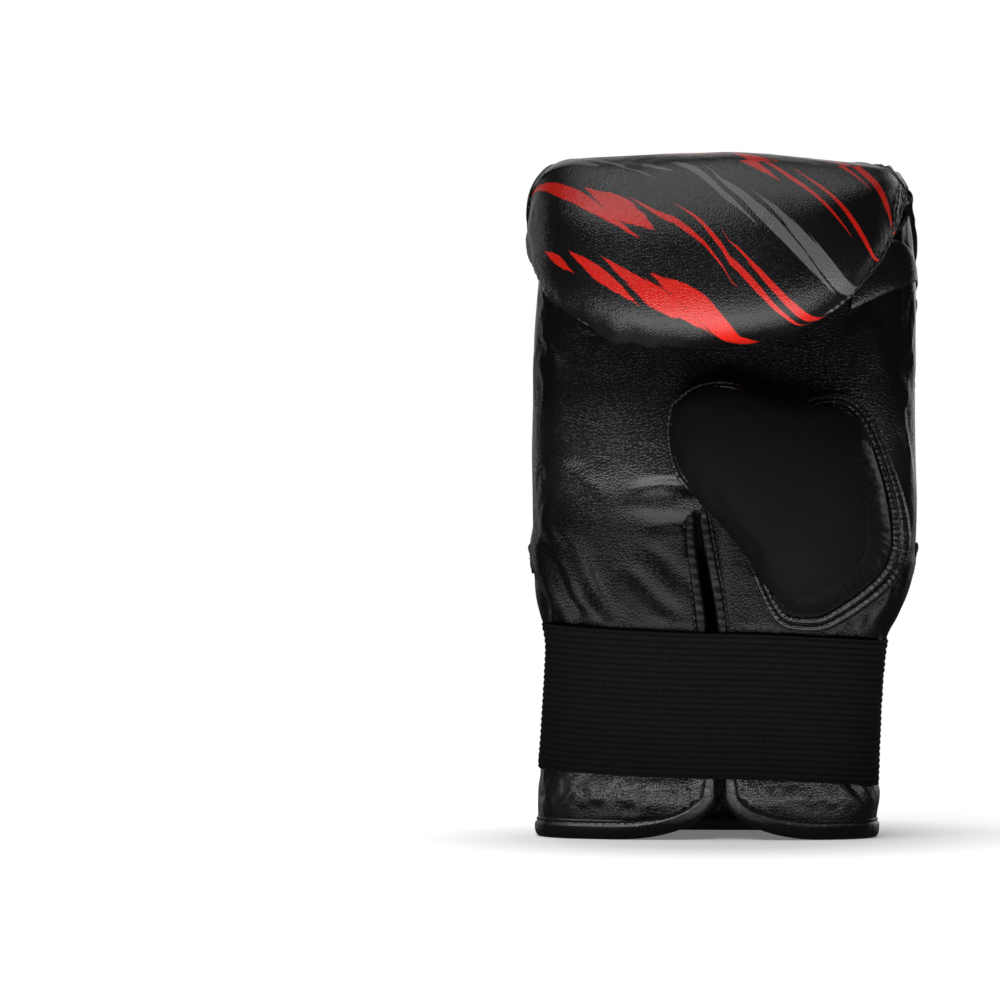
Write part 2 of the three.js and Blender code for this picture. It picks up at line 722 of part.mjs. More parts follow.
// The palm leather, with its slit and the thumb's way in.
function palmPanel() {
  const from = (hemWidth + gap) / foldHeight;
  const to = 1 - palmTuck / foldHeight;
  const angles = crowded(0, Math.PI, 24);
  const grid = (inset) => evenly(from, to, 15).map((v) => angles.map((a) => palmPoint(v, a, inset)));
  return cut(wallBetween(grid(0), grid(leather)), slitCutter(), thumbHole());
}

// The cuff's padded back, from side seam to side seam.
function cuffPanel() {
  const angles = crowded(0, Math.PI, 24);
  const stations = evenly((hemWidth + gap) / foldHeight, cuffHeight / foldHeight, 8);
  const grid = (inset) => stations.map((v) => angles.map((a) => backPoint(v, a, inset)));
  return wallBetween(grid(0), grid(cuffWall));
}

// The turned band along the cuff's top, which laps over the back pad's lower edge.
function cuffBand() {
  const angles = crowded(0, Math.PI, 24);
  const bottom = cuffHeight + cuffBandLap - cuffBandHeight;
  const stations = evenly(bottom / foldHeight, (cuffHeight + cuffBandLap) / foldHeight, 4);
  const thickness = (a) => cuffBandThickness * THREE.MathUtils.lerp(0.35, 1, Math.sin(a));
  const low = stations.map((v) => angles.map((a) => backPoint(v, a, -clearance)));
  const high = stations.map((v) => angles.map((a) => backPoint(v, a, -clearance - thickness(a), -clearance - thickness(a))));
  return wallBetween(high, low);
}

// The wide elastic across the wrist, sewn in at both side seams and clear of the slit's binding.
function elasticBand() {
  const angles = crowded(0, Math.PI, 24);
  const lift = (a) =>
    clearance + bindingProud * THREE.MathUtils.smoothstep(Math.sin(a), 0.25, 0.95);
  const grid = (thickness) =>
    evenly(0, 1, 6).map((t) =>
      angles.map((a) => {
        const tilt = (elasticSlope / 2) * Math.cos(a);
        const v = (elasticHeight - tilt + t * elasticWidth) / foldHeight;
        return palmPoint(v, a, -lift(a) - thickness);
      }),
    );
  return wallBetween(grid(elasticThickness), grid(0));
}

// The sewn patch on the cuff's back.
function labelPatch() {
  const grid = (inset) =>
    evenly(labelAbove, labelAbove + labelHeight, 6).map((z) => {
      const s = station(z / foldHeight);
      const from = angleAt((labelWidth / 2 - labelShift) / s.thumb, squareness);
      const to = Math.PI - angleAt((labelWidth / 2 + labelShift) / s.outer, squareness);
      return evenly(from, to, 16).map((a) => backPoint(z / foldHeight, a, -inset));
    });
  return wallBetween(grid(clearance + labelThickness), grid(clearance));
}

const blackLeather = new THREE.MeshStandardMaterial({ color: 0x141416, roughness: 0.5, metalness: 0 });
const softLeather = new THREE.MeshStandardMaterial({ color: 0x101012, roughness: 0.62, metalness: 0 });
const wovenElastic = new THREE.MeshStandardMaterial({ color: 0x0c0c0e, roughness: 0.9, metalness: 0 });
const whiteVinyl = new THREE.MeshStandardMaterial({ color: 0xe9eaec, roughness: 0.55, metalness: 0 });

const glove = new THREE.Group();

function add(name, geometry, material) {
  const mesh = new THREE.Mesh(geometry, material);
  mesh.name = name;
  geometry.computeVertexNormals();
  glove.add(mesh);
}

add("back_pad", backPad(), blackLeather);
add("side_panel_thumb", sidePanel("thumb"), blackLeather);
add("side_panel_outer", sidePanel("outer"), blackLeather);
add("palm_panel", palmPanel(), softLeather);
add("cuff_panel", cuffPanel(), blackLeather);
add("cuff_band", cuffBand(), blackLeather);
add("hem_binding", hemBinding(), blackLeather);
add("elastic_band", elasticBand(), wovenElastic);
add("label_patch", labelPatch(), whiteVinyl);
add("thumb", cut(thumbForm(), thumbForm(thumbWall), thumbHole()), softLeather);
add("thumb_welt", thumbWelt(), softLeather);
add("thumb_flange", thumbFlange(), softLeather);
add("finger_gusset", fingerGusset(), softLeather);

export default glove;
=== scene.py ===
"""The visual model of a padded mitt for training on a heavy bag, for the right hand.

The mitt's skin is worked out here as it is in the solids, on a finer grid, so that each leather
panel lies where its solid lies. Creases, seams, puckers and stitches are then pressed into it.
Every size is in millimetres until a mesh is made. The palm faces -Y and the thumb's side is +X.
"""

import bmesh
import bpy
import numpy as np
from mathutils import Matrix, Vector


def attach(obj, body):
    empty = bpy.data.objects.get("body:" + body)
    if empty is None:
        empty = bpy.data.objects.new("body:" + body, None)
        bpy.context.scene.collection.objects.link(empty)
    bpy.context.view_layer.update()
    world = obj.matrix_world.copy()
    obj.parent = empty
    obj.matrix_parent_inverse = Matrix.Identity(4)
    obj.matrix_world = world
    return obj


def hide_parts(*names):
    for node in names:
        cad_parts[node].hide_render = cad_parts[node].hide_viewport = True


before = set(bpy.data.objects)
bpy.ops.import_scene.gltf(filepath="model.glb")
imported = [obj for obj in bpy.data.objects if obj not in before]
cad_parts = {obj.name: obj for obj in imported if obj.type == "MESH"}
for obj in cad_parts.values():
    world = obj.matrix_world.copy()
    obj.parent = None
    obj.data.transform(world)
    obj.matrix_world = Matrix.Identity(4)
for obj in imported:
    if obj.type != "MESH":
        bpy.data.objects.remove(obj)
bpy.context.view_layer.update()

MM = 0.001
UV_MM = 100.0
TURN = 2 * np.pi
TINY = 1e-9

# Overall sizes
BODY_WIDTH = 153.4
BODY_DEPTH = 73
PALM_DEPTH = 32
FOLD_HEIGHT = 205.5
HOOD_RISE = 62
ROLL_DEPTH = 41
FOLD_SWEEP = 235
FOLD_RISE_OUTER = 22
FOLD_RISE_THUMB = 43
SQUARENESS = 3
HALF_WIDTH = BODY_WIDTH / 2
LOWEST_FOLD = -0.33
POLE_CROWN = 0.05

# Walls
LEATHER = 2.4
PAD_THICKNESS = 24
SIDE_PAD = 10
CUFF_WALL = 4
GAP = 0.3
CLEARANCE = 0.5
SEAM_GAP = GAP / HALF_WIDTH

# Cuff, binding, elastic and label
CUFF_HEIGHT = 112
CUFF_BAND_HEIGHT = 12
CUFF_BAND_LAP = 3
CUFF_BAND_THICKNESS = 2.2
HEM_WIDTH = 8
SLIT_BINDING_WIDTH = 5
BINDING_PROUD = 1.6
BINDING_THICKNESS = 5
SLIT_HEIGHT = 128
SLIT_LEAN = 9
SLIT_GAP = 2
FLAP_CORNER_WIDTH = 38
FLAP_CORNER_HEIGHT = 17
ELASTIC_WIDTH = 56.5
ELASTIC_HEIGHT = 23.8
ELASTIC_SLOPE = 6.6
ELASTIC_THICKNESS = 2
LABEL_WIDTH = 106
LABEL_HEIGHT = 81
LABEL_THICKNESS = 1.2
LABEL_ABOVE = 17
LABEL_SHIFT = 4
LABEL_SAG = 1.6

# Thumb
THUMB_LENGTH = 103
THUMB_WIDTH = 67
THUMB_HEIGHT = 38
THUMB_WALL = 4
THUMB_TILT = np.radians(30)
THUMB_TIP_X = 21
THUMB_TIP_Z = 169.4
THUMB_LIFT = 0.8
THUMB_HOLE_LENGTH = 34
THUMB_HOLE_WIDTH = 40
THUMB_HOLE_ALONG = 0.3
THUMB_HOLE_OVER = -0.1
THUMB_WIDEST = 0.38
THUMB_WELT_START = 0.5
FLANGE_WIDTH = 7.4
FLANGE_THICKNESS = 4

# How far the panels reach in under their bindings
EDGE_TUCK = 1.4
PALM_TUCK = 3

# The gathers at the thumb's root: how far they reach inward, how high they start, which share of
# the seam's run they cover, and where their sheen begins
ROOT_REACH = 9.5
ROOT_FOOT = 2.4
ROOT_FROM = 0.2
ROOT_TO = 0.89
ROOT_SHEEN = 2.5

# The elastic's ribs, and the heights between which the palm's leather lies flat under it
RIBS = 24
RIB_PITCH = ELASTIC_WIDTH / RIBS
UNDER_ELASTIC_LOW = (20, 26)
UNDER_ELASTIC_HIGH = (80, 86)

# Stitches, and how far their rows lie from an edge
STITCH_PITCH = 3.0
STITCH_LENGTH = 2.2
STITCH_THICKNESS = 0.65
SEAM_STITCHES = 3.1
CUFF_STITCHES = 4.4
ELASTIC_STITCHES = 3.5
LABEL_STITCHES = 2.2
BAND_STITCHES = (0.2 * CUFF_BAND_HEIGHT, 0.5 * CUFF_BAND_HEIGHT)
HEM_STITCHES = 0.3
FLANGE_STITCHES = (0.56, 0.17)
FLANGE_STITCH_HEIGHT = 1.8


def table(words, *rows):
    """Columns by name, from rows of numbers."""
    return dict(zip(words.split(), np.array(rows, float).T))


# Sections of the body, as shares of the sizes above.
BODY = table(
    "rise outer thumb depth palm fold pad seam_outer seam_thumb",
    (0.0, 0.935, 0.8, 0.89, 0.97, 0, 0.3, 0.73, 0.64),
    (0.13, 0.93, 0.81, 0.88, 0.97, 0, 0.3, 0.73, 0.64),
    (0.38, 0.9, 0.857, 0.87, 0.97, 0, 0.3, 0.73, 0.64),
    (0.46, 0.925, 0.93, 0.89, 0.98, 0, 0.3, 0.73, 0.64),
    (0.54, 0.955, 0.975, 0.93, 1.0, 0, 0.4, 0.73, 0.64),
    (0.61, 0.962, 1.0, 0.97, 1.0, 0.05, 0.7, 0.74, 0.66),
    (0.76, 0.96, 1.0, 1.0, 1.0, 0.3, 1.0, 0.76, 0.7),
    (0.88, 0.955, 1.0, 1.0, 1.0, 0.66, 1.0, 0.77, 0.74),
    (0.95, 0.95, 0.982, 0.985, 1.0, 0.86, 1.0, 0.775, 0.76),
    (1.0, 0.945, 0.955, 0.965, 1.0, 1, 1.0, 0.78, 0.78),
)

# Sections of the hood, fanned about the fold line. turn is in degrees from the back.
HOOD = table(
    "turn bulge outer thumb outer_square thumb_square pad seam",
    (0, 1.0, 0.945, 0.955, 3.0, 3.0, 1.0, 0.78),
    (20, 1.045, 0.955, 0.95, 3.05, 2.6, 1.0, 0.78),
    (42, 1.115, 0.965, 0.945, 3.1, 2.15, 1.0, 0.79),
    (62, 1.1, 0.98, 0.94, 3.1, 1.85, 0.98, 0.83),
    (90, 1.0, 0.995, 0.94, 3.1, 1.78, 0.92, 0.935),
    (112, 1.05, 1.0, 0.94, 3.0, 1.85, 0.88, 0.992),
    (135, 1.11, 1.0, 0.94, 2.9, 2.0, 0.84, 1),
    (158, 1.05, 1.0, 0.94, 2.8, 2.2, 0.8, 1),
    (180, 1.0, 0.995, 0.94, 2.8, 2.4, 0.78, 1),
    (196, 0.88, 0.985, 0.935, 2.8, 2.6, 0.75, 1),
    (212, 0.64, 0.97, 0.93, 2.8, 2.7, 0.66, 1),
    (225, 0.4, 0.955, 0.92, 2.8, 2.7, 0.42, 1),
    (235, 0.22, 0.945, 0.91, 2.8, 2.7, 0.2, 1),
)

# Sections of the thumb, from its root to its tip.
THUMB = table(
    "along upper lower front rest",
    (0.0, -0.17, 0.28, 0.16, 1),
    (0.02, -0.045, 0.37, 0.34, 1),
    (0.05, 0.045, 0.46, 0.5, 1),
    (0.1, 0.13, 0.58, 0.66, 1),
    (0.17, 0.25, 0.655, 0.81, 1),
    (0.25, 0.365, 0.67, 0.92, 1),
    (0.35, 0.46, 0.62, 0.99, 1),
    (0.46, 0.45, 0.54, 1.0, 1),
    (0.58, 0.405, 0.48, 1.0, 1.2),
    (0.71, 0.365, 0.435, 0.97, 1.6),
    (0.83, 0.32, 0.37, 0.9, 2),
    (0.91, 0.265, 0.28, 0.8, 2.5),
    (0.97, 0.17, 0.165, 0.68, 3.5),
    (1.0, 0.05, 0.05, 0.52, 6),
)

# The slit of the palm.
SLIT = table(
    "rise lean open",
    (0.16, 0.05, 0.9),
    (0.3, 0.1, 0.9),
    (0.5, 0.25, 1.0),
    (0.68, 0.45, 1.0),
    (0.84, 0.8, 0.8),
    (0.94, 1.0, 0.5),
    (1.0, 1.05, 0.16),
)


def through(xs, ys, at):
    """A smooth curve through values ys at places xs, which rise."""
    last = len(xs) - 1
    at = np.asarray(at, float)
    k = np.clip(np.searchsorted(xs, at, side="right") - 1, 0, last - 1)
    before = np.maximum(k - 1, 0)
    after = np.minimum(k + 2, last)
    more = (1,) * (ys.ndim - 1)

    def shaped(value):
        return value.reshape(value.shape + more)

    span = shaped(xs[k + 1] - xs[k])
    t = np.clip(shaped(at - xs[k]) / span, 0, 1)
    start_slope = (ys[k + 1] - ys[before]) / shaped(xs[k + 1] - xs[before]) * span
    end_slope = (ys[after] - ys[k]) / shaped(xs[after] - xs[k]) * span
    return (
        (2 * t**3 - 3 * t**2 + 1) * ys[k]
        + (t**3 - 2 * t**2 + t) * start_slope
        + (3 * t**2 - 2 * t**3) * ys[k + 1]
        + (t**3 - t**2) * end_slope
    )


def row_at(rows, key, at):
    """Every column of a table at values of one column."""
    return {name: through(rows[key], ys, at) for name, ys in rows.items()}


def evenly_through(rows, at):
    """Every column of a table whose rows are spaced evenly from 0 to 1."""
    return [through(np.linspace(0, 1, len(ys)), ys, at) for ys in rows.values()]


def hood_reach(turn, bulge):
    """How far the hood reaches from the fold line, in the middle of the mitt."""
    turn = np.asarray(turn, float)
    depth = np.where(turn < 90, BODY_DEPTH * BODY["depth"][-1], ROLL_DEPTH)
    rise = np.where(turn < 180, HOOD_RISE, ROLL_DEPTH)
    angle = np.radians(turn)
    return bulge / np.hypot(np.cos(angle) / depth, np.sin(angle) / rise)


BACK_REACH = np.max(BODY_DEPTH * BODY["depth"] - PALM_DEPTH * BODY["palm"])
FRONT_REACH = np.max(
    PALM_DEPTH - hood_reach(HOOD["turn"], HOOD["bulge"]) * np.cos(np.radians(HOOD["turn"]))
)
SIDE_Y = (FRONT_REACH - BACK_REACH) / 2


def station(v):
    """The skin's section at v: 0 to 1 climbs the body, 1 to 2 turns over the hood to the lip."""
    v = np.asarray(v, float)
    body = row_at(BODY, "rise", np.clip(v, 0, 1))
    hood = row_at(HOOD, "turn", np.clip((v - 1) * FOLD_SWEEP, 0, FOLD_SWEEP))
    over = v > 1

    def pick(on_body, on_hood):
        return np.where(over, on_hood, on_body)

    return {
        "base": pick(v * FOLD_HEIGHT, FOLD_HEIGHT),
        "turn": np.radians(pick(0, hood["turn"])),
        "reach": pick(BODY_DEPTH * body["depth"], hood_reach(hood["turn"], hood["bulge"])),
        "palm": pick(PALM_DEPTH * body["palm"], PALM_DEPTH),
        "outer": HALF_WIDTH * pick(body["outer"], hood["outer"]),
        "thumb": HALF_WIDTH * pick(body["thumb"], hood["thumb"]),
        "outer_square": pick(SQUARENESS, hood["outer_square"]),
        "thumb_square": pick(SQUARENESS, hood["thumb_square"]),
        "fold": pick(body["fold"], 1),
        "pad": PAD_THICKNESS * pick(body["pad"], hood["pad"]),
        "seam_outer": pick(body["seam_outer"], hood["seam"]),
        "seam_thumb": pick(body["seam_thumb"], hood["seam"]),
    }


def crown_at(share, square):
    return np.maximum(0, 1 - np.abs(share) ** square) ** (1 / square)


def angle_at(share, square):
    return np.arccos(np.minimum(1, share ** (square / 2)))


def fold_rise(share):
    outer = FOLD_RISE_OUTER * np.maximum(0, (LOWEST_FOLD - share) / (1 + LOWEST_FOLD)) ** 2.2
    thumb = FOLD_RISE_THUMB * np.maximum(0, (share - LOWEST_FOLD) / (1 - LOWEST_FOLD)) ** 3.5
    return np.where(share < LOWEST_FOLD, outer, thumb)


def back_point(v, across, inset=0.0, side_inset=None):
    """Points of the back, over the hood and down to the lip, as in the solids."""
    side_inset = inset if side_inset is None else side_inset
    s = station(v)
    on_thumb = across < np.pi / 2
    square = np.where(on_thumb, s["thumb_square"], s["outer_square"])
    share = np.abs(np.cos(across)) ** (2 / square) * np.where(on_thumb, 1, -1)
    crown = np.abs(np.sin(across)) ** (2 / square)
    reach = (s["reach"] - inset) * crown
    x = share * (np.where(on_thumb, s["thumb"], s["outer"]) - side_inset)
    y = SIDE_Y + GAP / 2 - s["palm"] * crown_at(share, SQUARENESS) + reach * np.cos(s["turn"])
    z = s["base"] + s["fold"] * fold_rise(share) + reach * np.sin(s["turn"])
    return np.stack([x, y, z], -1)


def palm_point(v, across, inset=0.0):
    """Points of the palm side."""
    s = station(v)
    on_thumb = across < np.pi / 2
    share = np.abs(np.cos(across)) ** (2 / SQUARENESS) * np.where(on_thumb, 1, -1)
    crown = np.abs(np.sin(across)) ** (2 / SQUARENESS)
    x = share * (np.where(on_thumb, s["thumb"], s["outer"]) - inset)
    y = SIDE_Y - GAP / 2 - (s["palm"] - inset) * crown
    z = s["base"] + s["fold"] * fold_rise(share)
    return np.stack([x, y, z], -1)


def palm_place(x, z):
    """The station and the share of the half width at places of the palm in front view."""
    x, z = np.broadcast_arrays(np.asarray(x, float), np.asarray(z, float))
    low = np.zeros(x.shape)
    high = np.ones(x.shape)
    share = np.zeros(x.shape)
    for _ in range(24):
        v = (low + high) / 2
        s = station(v)
        share = np.clip(x / np.where(x < 0, s["outer"], s["thumb"]), -1, 1)
        below = s["base"] + s["fold"] * fold_rise(share) < z
        low = np.where(below, v, low)
        high = np.where(below, high, v)
    return low, share


def palm_angle(x, z):
    angle = angle_at(np.abs(palm_place(x, z)[1]), SQUARENESS)
    return np.where(np.asarray(x) < 0, np.pi - angle, angle)


def smooth(x, low, high):
    """0 at low and 1 at high, with a soft start and end."""
    t = np.clip((x - low) / (high - low), 0, 1)
    return t * t * (3 - 2 * t)


def tapered(at, start, end):
    """1 along a line, and 0 at its two ends, over a length at its start and at its end."""
    return smooth(at, at[0], at[0] + start) * smooth(at, at[-1], at[-1] - end)


def bell(x, width, power=2):
    """1 where x is zero, falling off over a width."""
    return np.exp(-((x / width) ** power))


def wave(x, pitch, phase):
    return np.sin(x * TURN / pitch + phase)


def unit(vectors):
    return vectors / np.maximum(np.linalg.norm(vectors, axis=-1, keepdims=True), TINY)


def left_of(run):
    """Unit directions to the left of a run of places."""
    way = unit(np.gradient(run, axis=0))
    return np.stack([-way[:, 1], way[:, 0]], -1)


def arc_lengths(line):
    """How far along a line each of its points lies."""
    return np.concatenate([[0], np.cumsum(np.linalg.norm(np.diff(line, axis=0), axis=1))])


def columns_at(at, far, grid):
    """Each column of a grid, read at places along it."""
    return np.stack([np.interp(at, far, column) for column in grid.T], -1)


# How far the leather of the cuff and the waist stands out at each side.
SIDE_SHIFT = table(
    "z outer thumb",
    (0, 0.3, -0.9),
    (18, 0.3, -1.1),
    (26, -0.3, -1.4),
    (74, -0.8, -1.3),
    (86, 0.6, 0.6),
    (98, 1.7, 1.6),
    (110, 1.4, 1.3),
    (122, 0.3, 0.3),
    (132, 0.2, 0.0),
    (150, 0.5, -0.5),
    (195, 0.5, -0.5),
    (212, -0.3, -0.2),
    (225, -1.0, 0.0),
    (240, -0.3, 0.0),
    (250, 0.0, 0.0),
)


def shifted(points):
    """Points moved out or in towards the mitt's two sides."""
    shift = row_at(SIDE_SHIFT, "z", points[..., 2])
    x = points[..., 0]
    near = smooth(np.abs(x) / HALF_WIDTH, 0.62, 0.9)
    moved = points.copy()
    moved[..., 0] += np.where(x < 0, -shift["outer"], shift["thumb"]) * near
    return moved


def level_normal(a, b):
    return unit(np.stack([b[..., 1] - a[..., 1], a[..., 0] - b[..., 0], np.zeros(a.shape[:-1])], -1))


def palm_normal(x, z):
    """The level normal of the palm's surface at places in front view."""
    step = 0.02
    v, _ = palm_place(x, z)
    angle = palm_angle(x, z)
    a = palm_point(v, np.maximum(0, angle - step))
    b = palm_point(v, np.minimum(np.pi, angle + step))
    return -level_normal(a, b)


def palm_at(x, z, out=0.0):
    """The palm's surface at places in front view, moved out along its level normal."""
    x, z = np.broadcast_arrays(np.asarray(x, float), np.asarray(z, float))
    v, share = palm_place(x, z)
    y = SIDE_Y - GAP / 2 - station(v)["palm"] * crown_at(share, SQUARENESS)
    return np.stack([x, y, z], -1) + palm_normal(x, z) * np.asarray(out)[..., None]


def back_normal(v, across):
    step = 0.02
    a = back_point(v, np.maximum(0, across - step))
    b = back_point(v, np.minimum(np.pi, across + step))
    return level_normal(a, b)


def crowded(start, end, count, pull=0.11):
    """Values from start to end, closer together towards both ends."""
    t = np.linspace(0, 1, count)
    t = t - pull * np.sin(2 * np.pi * t)
    return start + (end - start) * t


def noise(points, size, seed=0):
    """Smooth noise between -1 and 1 at points, with lumps about a size across."""
    q = np.asarray(points, float) / size + np.array([17.3, 5.1, 9.7]) * (seed + 1)
    cell = np.floor(q).astype(np.int64)
    f = q - cell
    f = f * f * (3 - 2 * f)
    total = np.zeros(q.shape[:-1])
    for corner in range(8):
        step = np.array([corner & 1, corner >> 1 & 1, corner >> 2 & 1])
        c = cell + step
        h = (c[..., 0] * 374761393 + c[..., 1] * 668265263 + c[..., 2] * 1442695041) & 0xFFFFFFFF
        h = ((h ^ (h >> 13)) * 1274126177) & 0xFFFFFFFF
        value = ((h ^ (h >> 16)) & 0xFFFF) / 32768 - 1
        weight = np.prod(np.where(step == 1, f, 1 - f), axis=-1)
        total += value * weight
    return total


def rough_noise(points, size, seed=0):
    """Noise with two finer layers."""
    return (
        noise(points, size, seed)
        + 0.5 * noise(points, size / 2.1, seed + 3)
        + 0.25 * noise(points, size / 4.3, seed + 7)
    )


class Panel:
    """A patch of leather: a grid of outside points and the inside points that match it."""

    def __init__(self, outside, inside):
        outside = shifted(outside)
        self.outside = outside
        self.inside = shifted(inside)
        self.flat = outside.copy()
        down, along = np.gradient(outside, axis=(0, 1))
        n = unit(np.cross(down, along))
        self.normal = n * np.sign(np.median(np.sum(n * (outside - inside), -1)))
        steps = np.linalg.norm(np.diff(outside, axis=1), axis=-1)
        self.u = np.concatenate([np.zeros((len(outside), 1)), np.cumsum(steps, 1)], 1)
        steps = np.linalg.norm(np.diff(outside, axis=0), axis=-1)
        self.v = np.concatenate([np.zeros((1, outside.shape[1])), np.cumsum(steps, 0)], 0)

    def push(self, amount):
        """Moves the outside along its normal by an amount at each point."""
        self.outside = self.outside + self.normal * amount[..., None]

    def from_right(self):
        return self.u[:, -1:] - self.u

    def from_top(self):
        return self.v[-1:] - self.v

    def from_sides(self):
        return np.minimum(self.u, self.from_right())

    def from_ends(self):
        return np.minimum(self.v, self.from_top())

    def line_at(self, distance, which):
        """The points and normals of the line at a distance from one edge."""
        far, grid, normal = self.u, self.outside, self.normal
        if which in ("bottom", "top"):
            far, grid, normal = self.v.T, np.swapaxes(grid, 0, 1), np.swapaxes(normal, 0, 1)
        if which in ("right", "top"):
            far = (far[:, -1:] - far)[:, ::-1]
            grid = grid[:, ::-1]
            normal = normal[:, ::-1]
        points = [columns_at(distance, *row) for row in zip(far, grid)]
        normals = [columns_at(distance, *row) for row in zip(far, normal)]
        return np.array(points), np.array(normals)


def grid_faces(index):
    """The quads between the points of a grid."""
    return np.stack([index[:-1, :-1], index[:-1, 1:], index[1:, 1:], index[1:, :-1]], -1).reshape(-1, 4)


def linked(name, data):
    """A new object in the scene, for a mesh, a light or a camera."""
    made = bpy.data.objects.new(name, data)
    bpy.context.scene.collection.objects.link(made)
    return made


SIMULATED_FRAMES = 20


def cloth_rise(grid, normal, growth, pressure, cap, cell=4.0):
    """How far cloth of a grid's shape rises along its normal once it is held at its edges.

    growth is the share by which it is cut too large. It is simulated on a coarse copy.
    """
    rows, columns = grid.shape[:2]
    high = np.linalg.norm(np.diff(grid, axis=0), axis=-1).sum(0).max()
    wide = np.linalg.norm(np.diff(grid, axis=1), axis=-1).sum(1).max()
    down = np.unique(np.linspace(0, rows - 1, int(high / cell)).round().astype(int))
    along = np.unique(np.linspace(0, columns - 1, int(wide / cell)).round().astype(int))
    start = grid[np.ix_(down, along)]
    up = normal[np.ix_(down, along)]
    m, n = start.shape[:2]
    index = np.arange(m * n).reshape(m, n)
    faces = grid_faces(index)
    points = start.reshape(-1, 3)
    a, b, c = (points[faces[:, k]] for k in range(3))
    if np.sum(np.cross(b - a, c - b) * up.reshape(-1, 3)[faces[:, 0]]) < 0:
        faces = faces[:, ::-1]
    mesh = bpy.data.meshes.new("cloth")
    mesh.from_pydata((points * MM).tolist(), [], faces.tolist())
    piece = linked("cloth", mesh)
    scene = bpy.context.scene
    held = piece.vertex_groups.new(name="held")
    edge = np.concatenate([index[0], index[-1], index[1:-1, 0], index[1:-1, -1]])
    held.add(edge.tolist(), 1.0, "REPLACE")
    change = piece.modifiers.new("cloth", "CLOTH")
    cloth = change.settings
    cloth.quality = 6
    cloth.mass = 0.15
    cloth.tension_stiffness = 20
    cloth.compression_stiffness = 20
    cloth.shear_stiffness = 10
    cloth.bending_stiffness = 0.5
    cloth.vertex_group_mass = "held"
    cloth.shrink_min = -growth
    cloth.use_pressure = True
    cloth.uniform_pressure_force = pressure
    cloth.effector_weights.gravity = 0
    change.collision_settings.use_collision = False
    change.point_cache.frame_start = 1
    change.point_cache.frame_end = SIMULATED_FRAMES
    for number in range(1, SIMULATED_FRAMES + 1):
        scene.frame_set(number)
    done = piece.evaluated_get(bpy.context.evaluated_depsgraph_get())
    coords = np.empty(len(points) * 3, np.float32)
    done.data.vertices.foreach_get("co", coords)
    moved = coords.reshape(m, n, 3) / MM - start
    bpy.data.objects.remove(piece)
    bpy.data.meshes.remove(mesh)
    scene.frame_set(1)
    rise = np.sum(moved * up, -1)
    rise = cap * np.tanh(rise / cap)
    rise = through(down, rise, np.arange(rows))
    return through(along, rise.T.copy(), np.arange(columns)).T


def edge_roll(distance, radius):
    """How far leather turns down towards a seam at a distance from it."""
    d = np.clip(distance / radius, 0, 1)
    return -radius * (1 - np.sqrt(np.maximum(0, 1 - (1 - d) ** 2)))


def on_surface(grid, normals, x, z):
    """The points of a surface at places in front view, their normals, and how far off they are."""
    facing = normals[..., 1] < -0.05
    grid = grid[facing]
    normals = normals[facing]
    places = np.stack([x, z], -1)
    flat = places.reshape(-1, 2)
    found = []
    for part in np.array_split(flat, max(1, len(flat) // 400)):
        apart = np.linalg.norm(grid[None][..., [0, 2]] - part[:, None], axis=-1)
        near = np.argpartition(apart, 10, axis=1)[:, :10]
        close = np.take_along_axis(apart, near, 1)
        w = bell(close, 1.2) + TINY
        w /= w.sum(1, keepdims=True)
        there = np.sum(grid[near] * w[..., None], 1)
        up = np.sum(normals[near] * w[..., None], 1)
        found.append(np.concatenate([there, up, close.min(1)[:, None]], 1))
    found = np.concatenate(found).reshape(*places.shape[:-1], 7)
    return found[..., :3], found[..., 3:6], found[..., 6]


def groove(distance, width, depth):
    return -depth * bell(distance, width)


def sewn_edge(distance):
    """The relief beside a seam: a rolled edge, the groove of its stitches and a swell past it."""
    relief = edge_roll(distance, 2.0) * 0.8 + groove(distance - SEAM_STITCHES, 0.9, 0.5)
    return relief + 0.5 * bell(distance - 7, 4)


def new_object(name, points, faces, material, uvs=None):
    mesh = bpy.data.meshes.new(name)
    mesh.from_pydata((np.asarray(points) * MM).tolist(), [], faces)
    mesh.polygons.foreach_set("use_smooth", np.ones(len(mesh.polygons), bool))
    if uvs is not None:
        corners = np.empty(len(mesh.loops), np.int32)
        mesh.loops.foreach_get("vertex_index", corners)
        layer = mesh.uv_layers.new(name="flat")
        layer.data.foreach_set("uv", (np.asarray(uvs)[corners] / UV_MM).astype(np.float32).ravel())
    mesh.materials.append(material)
    mesh.update()
    made = linked(name, mesh)
    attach(made, "root")
    return made


def outward(points, faces):
    """The faces, turned over if they enclose a negative volume."""
    points = np.asarray(points)
    f = np.array(faces)
    a, b, c, d = (points[f[:, k]] for k in range(4))
    volume = np.sum(a * np.cross(b, c)) + np.sum(a * np.cross(c, d))
    return f[:, ::-1].tolist() if volume < 0 else f.tolist()


def closed_wall(name, panel, material, flat=None):
    """A closed mesh between a panel's outside and its inside, with UVs by arc length."""
    points = np.concatenate([panel.outside.reshape(-1, 3), panel.inside.reshape(-1, 3)])
    shift = panel.u.size
    index = np.arange(shift).reshape(panel.u.shape)
    out = grid_faces(index)
    rim = []
    for line, sign in ((index[:, 0], 1), (index[:, -1], -1), (index[0], -1), (index[-1], 1)):
        p, q = (line[:-1], line[1:])[::sign]
        rim.append(np.stack([p, q, q + shift, p + shift], -1))
    faces = outward(points, np.concatenate([out, out[:, [0, 3, 2, 1]] + shift, *rim]))
    if flat is None:
        flat = np.stack([panel.u - panel.u[:, -1:] / 2, panel.v], -1)
    flat = flat.reshape(-1, 2)
    return new_object(name, points, faces, material, np.concatenate([flat, flat]))


